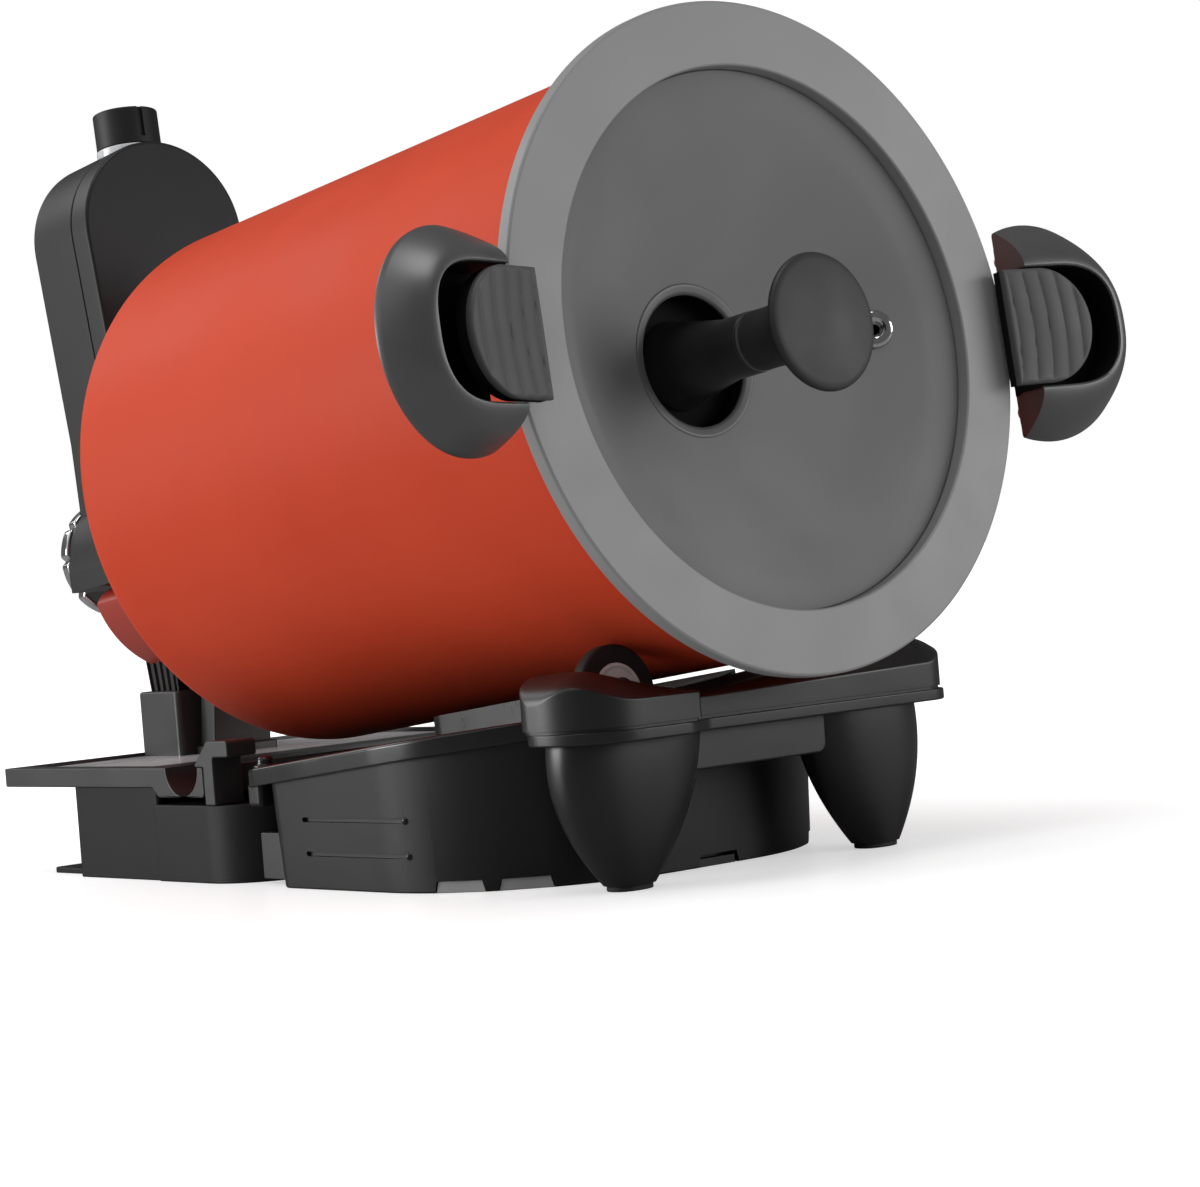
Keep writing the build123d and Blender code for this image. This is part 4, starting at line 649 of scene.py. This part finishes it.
tower_front = slab("tower_front_shell", DRUM, shell_outline, SEAM_FRONT, TOWER_FRONT, (0.5, 1.5), abs_grey, "base",
                   ["tower_front_cover"])
tower_rear = slab("tower_rear_shell", DRUM, shell_outline, TOWER_REAR, SEAM_REAR, (3.0, 0.6), abs_grey, "base",
                  ["tower_rear_cover"], steps=8)
rise = RED_TOP - RED_TALL * (1 - np.cos(np.linspace(0, math.pi / 2, 40)))
bend_at = RED_TOP - RED_CORNER
corner = np.where(rise > bend_at, CASE - RED_CORNER + np.sqrt(np.maximum(RED_CORNER**2 - (rise - bend_at) ** 2, 0)),
                  CASE)
wide = np.minimum(np.sqrt(np.maximum(CASE**2 - (rise + DROP) ** 2, 0)), corner)
wide[-1] = 0.0
edge = np.column_stack([wide, rise])
red_outline = np.vstack([edge[::-1], (edge[:-1] * (-1, 1))])
tower_red = slab("tower_red_cover", DRUM, red_outline, RED_REAR, TOWER_FRONT, (3.0, 1.5), abs_red, "base",
                 ["tower_lower_cover"], steps=7)


def pipe(name, radius, low, high, axes=DRUM, turns=72):
    """A plain round cutter along the axes' third direction."""
    return lathe(name, axes, np.array([(0, low), (radius, low), (radius, high), (0, high)], float), steel, None,
                 turns=turns)


MOTOR = moved(DRUM, 0.0, -MOTOR_DROP, 0.0)
carve(tower_front, pipe("hub_cut", HUB_CUT, -390, -370))
carve(tower_rear, pipe("motor_cut", HUB_CUT, -425, -380, MOTOR))
carve(tower_red, pipe("hub_cut", HUB_CUT, -381, -370), pipe("motor_cut", HUB_CUT, -425, -386, MOTOR))

lathe("hub_barrel", DRUM, rounded(
    [(9, -384), (HUB_ROUND, -384), (HUB_ROUND, -312.1), (9, -312.1)], [0.2, 0.2, 2.0, 0.8]),
    abs_black, "base", ["hub_housing"], closed=True)
SHAFT_CUT = 5.05
carve(lathe("motor_can", MOTOR, rounded(
    [(0, -449), (HUB_ROUND, -449), (HUB_ROUND, -386), (0, -386)], [0, 1.6, 0.5, 0]),
    abs_black, "base", ["drive_motor"]), pipe("shaft_cut", SHAFT_CUT, -460, -380))
lathe("motor_trim", MOTOR, rounded([(18, -456), (27, -456), (27, -449), (18, -449)], [1.2, 2.0, 1.4, 0.5]),
      chrome, "base", ["motor_ring"], turns=240, closed=True,
      flute=lambda a, r: 1 - 0.08 * np.maximum(np.cos(10 * a), 0) ** 8 * (r > 23))

KNOB_BACK, KNOB_ROUND, KNOB_LOW, KNOB_HIGH = -392.5, 14.6, 170.9, 187.5
KNOB = (put(DRUM, 0.0, 0.0, KNOB_BACK), ACROSS, -AHEAD, RISE)
control = lathe("control_cap", KNOB, rounded(
    [(0, KNOB_LOW), (KNOB_ROUND, KNOB_LOW), (KNOB_ROUND, KNOB_HIGH), (0, KNOB_HIGH)], [0, 0.4, 0.8, 0]),
    abs_grey, "selector", ["control_knob"], turns=96)
KNOB_TURN = math.radians(5.0)  # where the slot points at rest
slot_side = math.cos(KNOB_TURN) * ACROSS + math.sin(KNOB_TURN) * AHEAD
slot_out = -math.sin(KNOB_TURN) * ACROSS + math.cos(KNOB_TURN) * AHEAD
carve(control, slab("slot_cut", (KNOB[0], slot_side, -slot_out, RISE), box_outline(2.4, 4.0, 0.3, (0, -15.0)),
                    173.7, 195.0, (0.1, 0.1), abs_black, None))
BEZEL_BORE, BEZEL_ROUND, BEZEL_LOW, BEZEL_HIGH = 3.4, 14.9, 164.0, 170.6
lathe("control_bezel", KNOB, rounded(
    [(BEZEL_BORE, BEZEL_LOW), (BEZEL_ROUND, BEZEL_LOW), (BEZEL_ROUND, BEZEL_HIGH), (BEZEL_BORE, BEZEL_HIGH)],
    [0.2, 0.2, 0.5, 0.2]), pale_gloss, "base", ["knob_bezel"], turns=96, closed=True)

# Rollers in their wells
ROLLER, ROLLER_SPREAD, ROLLER_BACK = 17.4, 55.0, -52.0
ROLLER_GAP, TYRE_BORE, TYRE_HALF, WELL_CUT = 0.3, 10.8, 3.0, 18.7
ROLLER_RISE = -math.sqrt((DRUM_ROUND + ROLLER_GAP + ROLLER) ** 2 - ROLLER_SPREAD**2)


def roller_axes(sign):
    """A roller's own axes: its axle along the drum's."""
    return moved(DRUM, sign * ROLLER_SPREAD, ROLLER_RISE, ROLLER_BACK)


for side, sign in SIDES:
    lathe(f"tyre_{side}", roller_axes(sign), rounded(
        [(TYRE_BORE, -TYRE_HALF), (ROLLER, -TYRE_HALF), (ROLLER, TYRE_HALF), (TYRE_BORE, TYRE_HALF)],
        [0.3, 1.5, 1.5, 0.3]),
        rubber, f"roller_{side}", [f"roller_tyre_{side}"], turns=96, closed=True)
    lathe(f"roller_disc_{side}", roller_axes(sign), rounded(
        [(3.05, -3.3), (10.7, -3.3), (10.7, 3.3), (9.5, 3.3), (8.7, 2.5), (5.6, 2.5), (4.6, 3.3), (3.05, 3.3)],
        [0.2, 0.4, 0.4, 0.3, 0.4, 0.4, 0.3, 0.2], 4),
        zinc, f"roller_{side}", [f"roller_hub_{side}"], turns=96, closed=True)


def well_cutters():
    """Round cutters of both roller wells."""
    return [pipe("well_cut", WELL_CUT, -3.6, 3.6, roller_axes(sign)) for _, sign in SIDES]


# Front beam on its feet
BEAM_LOW, BEAM_TOP, BEAM_REAR, BEAM_FRONT, BULGE, BEAM_END = 52.6, 56.8, -71.5, -106.5, 7.0, 95.0
FEET_LINE, FOOT_SPREAD, FOOT_LEAN, FOOT_WIDE, FOOT_DEEP, SOLE = -89.0, 61.5, 6.5, 28.2, 15.0, 2.0
beam_outline = rounded(
    [(-BEAM_END, BEAM_FRONT - BULGE), (-48, BEAM_FRONT - BULGE), (-34, BEAM_FRONT), (BEAM_END, BEAM_FRONT),
     (BEAM_END, BEAM_REAR), (-BEAM_END, BEAM_REAR)], [27, 9, 9, 14, 14, 14], 16)
carve(slab("front_rail", GROUND, beam_outline, BEAM_LOW, BEAM_TOP, (0.7, 0.5), front_black, "base", ["front_beam"]), *well_cutters())
apron = rounded([(-38, 38.6), (30, 38.6), (30, 53.5), (-38, 53.5)], [1.5, 4, 0, 0])
slab("front_apron", (np.array([0.0, FEET_LINE, 0.0]), ACROSS, GROUND[3], -GROUND[2]), apron, -10, 10, (0.5, 0.8),
     front_black, "base")

FOOT_ROWS = np.linspace(0, 1, 25)
for side, sign, more in (("left", -1, 3.8), ("right", 1, 0.0)):
    a = np.linspace(0, 2 * math.pi, 72, endpoint=False)
    swell = 1 - (1 - FOOT_ROWS) ** 2.1
    wide = FOOT_WIDE * (0.34 + 0.66 * swell) + more * swell
    deep = FOOT_DEEP * (0.52 + 0.48 * swell) + 0.4 * more * swell
    middle = sign * (FOOT_SPREAD - FOOT_LEAN * FOOT_ROWS + more * swell)
    c, s = np.cos(a), np.sin(a)
    round_x = np.sign(c) * np.abs(c) ** 0.88
    round_y = np.sign(s) * np.abs(s) ** 0.88
    rings = np.stack([middle[:, None] + wide[:, None] * round_x, FEET_LINE + deep[:, None] * round_y,
                      (SOLE + (BEAM_LOW - SOLE) * FOOT_ROWS)[:, None] + 0 * round_x], -1)
    carve(skin(f"shield_foot_{side}", rings, front_black, "base", [f"foot_{side}"]), *well_cutters())
    sole = np.column_stack([sign * FOOT_SPREAD + 8.6 * round_x, FEET_LINE + 6.8 * round_y])
    slab(f"sole_{side}", GROUND, sole, 0, SOLE + 0.1, (0.4, 0.1), rubber, "base", ["foot_pads"] if sign < 0 else [])


def hood(name, outline, edge_height, ridge, stuff, stands_for):
    """A cover over the rollers: a shadow gap over the beam, walls along an outline, then rings that shrink onto a
    spine. The height at a point is the front edge's height plus the ridge's rise times the sine, to the power of
    1.2, of a right angle's share of the way to the ridge."""
    spine = np.column_stack([np.clip(outline[:, 0], outline[:, 0].min() + 20, outline[:, 0].max() - 20),
                             np.full(len(outline), -88.0)])
    gap_line = outline + (spine - outline) * 0.04
    rings = [np.column_stack([line, np.full(len(outline), BEAM_TOP + high)])
             for line, high in ((gap_line, 0.0), (gap_line, 1.0), (outline, 1.1))]
    for share in np.concatenate([[0.0, 0.004, 0.012, 0.025], np.linspace(0.05, 1, 24)]):
        ring = outline + (spine - outline) * share
        t = np.clip((ring[:, 1] - outline[:, 1].min()) / (-93.0 - outline[:, 1].min()), 0, 1)
        rise = ridge(ring[:, 0]) * np.sin(t * math.pi / 2) ** 1.2
        soft = 0.9 * (1 - math.sqrt(1 - max(0.0, 1 - share / 0.05) ** 2))
        rings.append(np.column_stack([ring, BEAM_TOP + edge_height(ring[:, 0]) + rise - soft]))
    return skin(name, np.array(rings), stuff, "base", stands_for)


def end_fall(distance, run):
    """Quarter-circle fall towards an end."""
    return np.sqrt(np.clip(1 - np.clip(1 - distance / run, 0, 1) ** 2, 0, 1))


HOOD_JOINT, HOOD_SEAM = -41.0, 0.1
left_hood = hood(
    "roller_hood_left", rounded([(-BEAM_END, -112), (HOOD_JOINT, -112), (HOOD_JOINT, BEAM_REAR),
                                 (-BEAM_END, BEAM_REAR)], [26, 2.5, 1, 10], 18),
    lambda x: 10.4 + 0 * x,
    lambda x: 10.4 * np.clip((HOOD_JOINT + 2 - x) / 40, 0, 1) * end_fall(x + BEAM_END, 22.0), front_black,
    ["roller_cover_left"])
right_hood = hood(
    "roller_hood_right", rounded([(HOOD_JOINT + HOOD_SEAM, -105), (BEAM_END, -105), (BEAM_END, BEAM_REAR),
                                  (HOOD_JOINT + HOOD_SEAM, BEAM_REAR)], [0.5, 14, 10, 0.5], 14),
    lambda x: 7.8 + 3.0 * (x - HOOD_JOINT) / (BEAM_END - HOOD_JOINT),
    lambda x: 9.6 * np.clip((x - 5) / 78, 0, 1) * end_fall(BEAM_END - x, 16.0), front_black, ["roller_cover_right"])
for piece in (left_hood, right_hood):
    carve(piece, *[slab("pocket_cut", GROUND, box_outline(36, 20, 2, (across, -80.0)), 54.0, 90.0, (0.1, 0.1),
                        front_black, None) for across in (-ROLLER_SPREAD, ROLLER_SPREAD)])

# Heater base under the drum
HEATER_WIDE, HEATER_LONG, HEATER_MIDDLE, FRONT_CORNER, REAR_CORNER = 192.0, 150.0, 6.0, 78.0, 10.0
COVER_LOW, COVER_HIGH, COVER_OUT, COVER_TAIL = 17.0, 10.0, 2.5, 11.0
NOTCH_TURNS = (26.0, 45.0)
WALL_DRAFT, WALL_TALL = 2.3, 48.0


def under_drum(drop):
    """Height, over the origin, of the plane this far under the drum and parallel to it."""
    rise = -(DRUM_ROUND + drop)
    ahead = (rise * math.sin(LEAN) + RIM_CENTRE[1]) / math.cos(LEAN)
    return RIM_CENTRE[2] + ahead * math.sin(LEAN) + rise * math.cos(LEAN)


def slanted(drop):
    """Level function of that plane."""
    return lambda ring: under_drum(drop) - ring[:, 1] * math.tan(LEAN)


def heater_plan(grow, tail=0.0):
    """Plan of the heater base: large front corners, small rear ones."""
    corners = np.array([FRONT_CORNER, FRONT_CORNER, REAR_CORNER, REAR_CORNER])
    return box_outline(HEATER_WIDE + 2 * grow, HEATER_LONG + tail + 2 * grow, corners + grow,
                       (0, HEATER_MIDDLE + tail / 2), steps=20)


tub_rings = [np.column_stack([inset(heater_plan(0), d), np.full(len(heater_plan(0)), z)])
             for d, z in ((3.2, 0.0), (2.6, 0.2), (WALL_DRAFT, 0.8))]
tub_rings.append(np.column_stack([heater_plan(0), slanted(COVER_LOW)(heater_plan(0))]))
tub = skin("heater_tub", np.array(tub_rings), abs_black, "base", ["heater_base"])
notch = rounded([(-10.5, -1), (10.5, -1), (9.0, 4.5), (-9.0, 4.5)], [0, 0, 0.6, 0.6], 4)
notch_pad = rounded([(-9.9, 0), (9.9, 0), (8.8, 4.3), (-8.8, 4.3)], [0.1, 0.1, 0.5, 0.5], 4)
groove = rounded([(-31, -0.9), (31, -0.9), (31, 0.9), (-31, 0.9)], 0.88, 6)
cutters = []
front_middle = np.array([HEATER_WIDE / 2 - FRONT_CORNER, HEATER_MIDDLE - HEATER_LONG / 2 + FRONT_CORNER, 0.0])
for side, sign in SIDES:
    for number, turn in enumerate(NOTCH_TURNS):
        away = np.array([sign * math.cos(math.radians(turn)), -math.sin(math.radians(turn)), 0.0])
        axes = (front_middle * (sign, 1, 1) + FRONT_CORNER * away, np.cross(GROUND[3], away), GROUND[3], away)
        cutters.append(slab("notch_cut", axes, notch, -8, 8, (0.1, 0.1), abs_black, None))
        slab(f"notch_pad_{side}_{number}", axes, notch_pad, -8, -3.4, (0.2, 0.2), grey_rubber, "base")
    for row, level in (("low", 13.6), ("high", 26.6)):
        draft = WALL_DRAFT * (1 - level / WALL_TALL)
        axes = (np.array([sign * (95.6 - draft), 26.0, level]), GROUND[2], GROUND[3], ACROSS)
        cutters.append(slab("groove_cut", axes, groove, -1.1, 1.1, (0.25, 0.25), abs_black, None))
        axes = (np.array([sign * (94.0 - draft), -5.0, level]), GROUND[2], GROUND[3], sign * ACROSS)
        lathe(f"groove_pip_{side}_{row}", axes, np.vstack([[(0, -0.5), (1.5, -0.5)], arc((0, 0.2), 1.5, 5, 90, 8)]),
              gloss_black, "base", turns=32)
axes = (np.array([2.0, HEATER_MIDDLE - HEATER_LONG / 2, 0.0]), ACROSS, GROUND[3], -GROUND[2])
cutters.append(slab("notch_cut", axes, notch, -8, 8, (0.1, 0.1), abs_black, None))
carve(tub, *cutters)
cover = slab("heater_top", GROUND, heater_plan(COVER_OUT, COVER_TAIL), slanted(COVER_LOW), slanted(COVER_HIGH),
             (0.5, 1.4), gloss_black, "base", ["heater_cover"])
carve(cover, slab("window_cut", GROUND, box_outline(56, 100, 4), 30, 70, (0.1, 0.1), abs_black, None))
for side, sign in SIDES:
    slab(f"cover_lug_{side}", GROUND, box_outline(10, 9, 2, (sign * 91.0, 87.0)), 31.2, 39.6, (1.6, 0.1), abs_black,
         "base")
    lathe(f"cover_screw_{side}", moved(GROUND, sign * 90.0, 86.0, 45.6), np.vstack([
        [(0, 0), (4.6, 0)],
        flowing([(4.8, 0.4), (4.7, 1.3), (3.4, 1.6), (3.2, 3.2), (2.6, 4.3), (1.4, 4.9), (0, 5.0)], 24)]),
        gloss_black, "base", turns=40)

# Rear base: box, deck with its trough, pale floor, hooks and ties
REAR_HALF, STEP_WIDE, CASE_TALL, STEP_TALL, CASE_WALL = 92.0, 181.0, 31.0, 38.0, 3.0
TRAY_MIDDLE, TRAY_LOW, TRAY_TOP = 226.25, 43.0, 46.0
carve(slab("rear_case", GROUND, box_outline(2 * REAR_HALF, 67.5, [30, 30, 1, 1], (0, 131.75), steps=14), 0, CASE_TALL,
           (0.6, 0.6), dull_abs, "base", ["rear_box"]),
      slab("case_cut", GROUND, box_outline(2 * (REAR_HALF - CASE_WALL), 64.5, [27, 27, 0.1, 0.1], (0, 133.3)), -1,
           CASE_TALL - CASE_WALL, (0.1, 0.1), dull_abs, None))
carve(slab("rear_case_step", GROUND, box_outline(STEP_WIDE, 64.5, 2, (0, 196.75)), 0, STEP_TALL, (0.6, 0.3), dull_abs,
           "base"),
      slab("case_cut", GROUND, box_outline(STEP_WIDE - 2 * CASE_WALL, 62.5, 0.1, (0, 194.7)), -1, STEP_TALL - CASE_WALL,
           (0.1, 0.1), dull_abs, None))
slab("rear_flange", GROUND, box_outline(166, 36, 2, (0, 245)), 0, 2.5, (0.3, 0.6), dull_abs, "base")
deck_profile = np.vstack([
    rounded([(127.5, TRAY_TOP), (127.5, 34), (161, 34), (165, STEP_TALL), (283, STEP_TALL), (283, TRAY_TOP)],
            [0.8, 2, 3, 2, 0.8, 0.8], 5),
    arc((143, TRAY_TOP), 11.5, 0, -180, 24)])
carve(slab("rear_tray", SIDEWAYS, deck_profile, -REAR_HALF, REAR_HALF, (0.5, 0.5), tray_grey, "base", ["rear_deck"]),
      slab("tray_cut", GROUND, box_outline(168, 106.5, 3, (0, TRAY_MIDDLE)), TRAY_LOW, 50, (0.1, 0.1), abs_black,
           None))
slab("tray_floor", GROUND, box_outline(167.8, 106.3, 2.9, (0, TRAY_MIDDLE)), TRAY_LOW, TRAY_LOW + 1.5, (0.1, 0.3),
     pale_gloss, "base", ["deck_panel"])
hook = rounded([(127, 31), (127, 46.1), (134, 46.1), (123.5, 56.5), (109, 56.5), (109, 50), (120, 50), (120, 31)],
               [0.6, 0.3, 0.8, 2.0, 1.5, 1.0, 1.2, 0.6], 5)
HOOK_WIDE = 14.0
slab("tray_hook_left", SIDEWAYS, hook, -REAR_HALF, HOOK_WIDE - REAR_HALF, (0.6, 0.6), tray_grey, "base",
     ["deck_hooks"])
slab("tray_hook_right", SIDEWAYS, hook, REAR_HALF - HOOK_WIDE, REAR_HALF, (0.6, 0.6), tray_grey, "base")
for side, sign in SIDES:
    stands_for = ["tie_bars"] if sign < 0 else []
    slab(f"tie_{side}", SIDEWAYS, box_outline(19, 18, 0.8, (89.5, 11)), sign * 84 - 2, sign * 84 + 2, (0.4, 0.4),
         tray_grey, "base", stands_for)

# Tower post with its ribbed neck, and the brace under the hub
POST, POST_WIDE, POST_TOP, NECK_HALF, NECK_RIB, NECK_TALL = 262.6, 49.0, 73.2, 21.5, 5.0, 16.0
slab("post_block", GROUND, box_outline(POST_WIDE, 32, 2.6, (0, POST)), TRAY_LOW, POST_TOP, (0.3, 1.2), tray_grey,
     "base", ["tower_post"])
ribs = np.linspace(-12, 12, 72)
neck_side = np.column_stack([NECK_HALF - 1.1 * np.clip(np.cos(2 * math.pi * ribs / NECK_RIB) * 3, 0, 1), ribs])
neck = np.vstack([neck_side, (neck_side * (-1, 1))[::-1]])
neck_rings = [np.column_stack([neck * (0.93 + 0.07 * t) + (0, POST),
                               np.full(len(neck), POST_TOP - 0.7 + NECK_TALL * t)]) for t in np.linspace(0, 1, 5)]
skin("post_neck", np.array(neck_rings), abs_black, "base")
brace = rounded([(234.6, 44.5), (245.6, 44.5), (234.5, 128.0), (223.5, 128.0)], 0.8, 4)
slab("hub_brace", SIDEWAYS, brace, -15, 15, (0.8, 0.8), tray_grey, "base", ["tower_brace"])
slab("brace_foot", GROUND, box_outline(34, 14.6, 1.5, (0, 239.0)), 44.5, 48.0, (0.2, 0.8), tray_grey, "base")
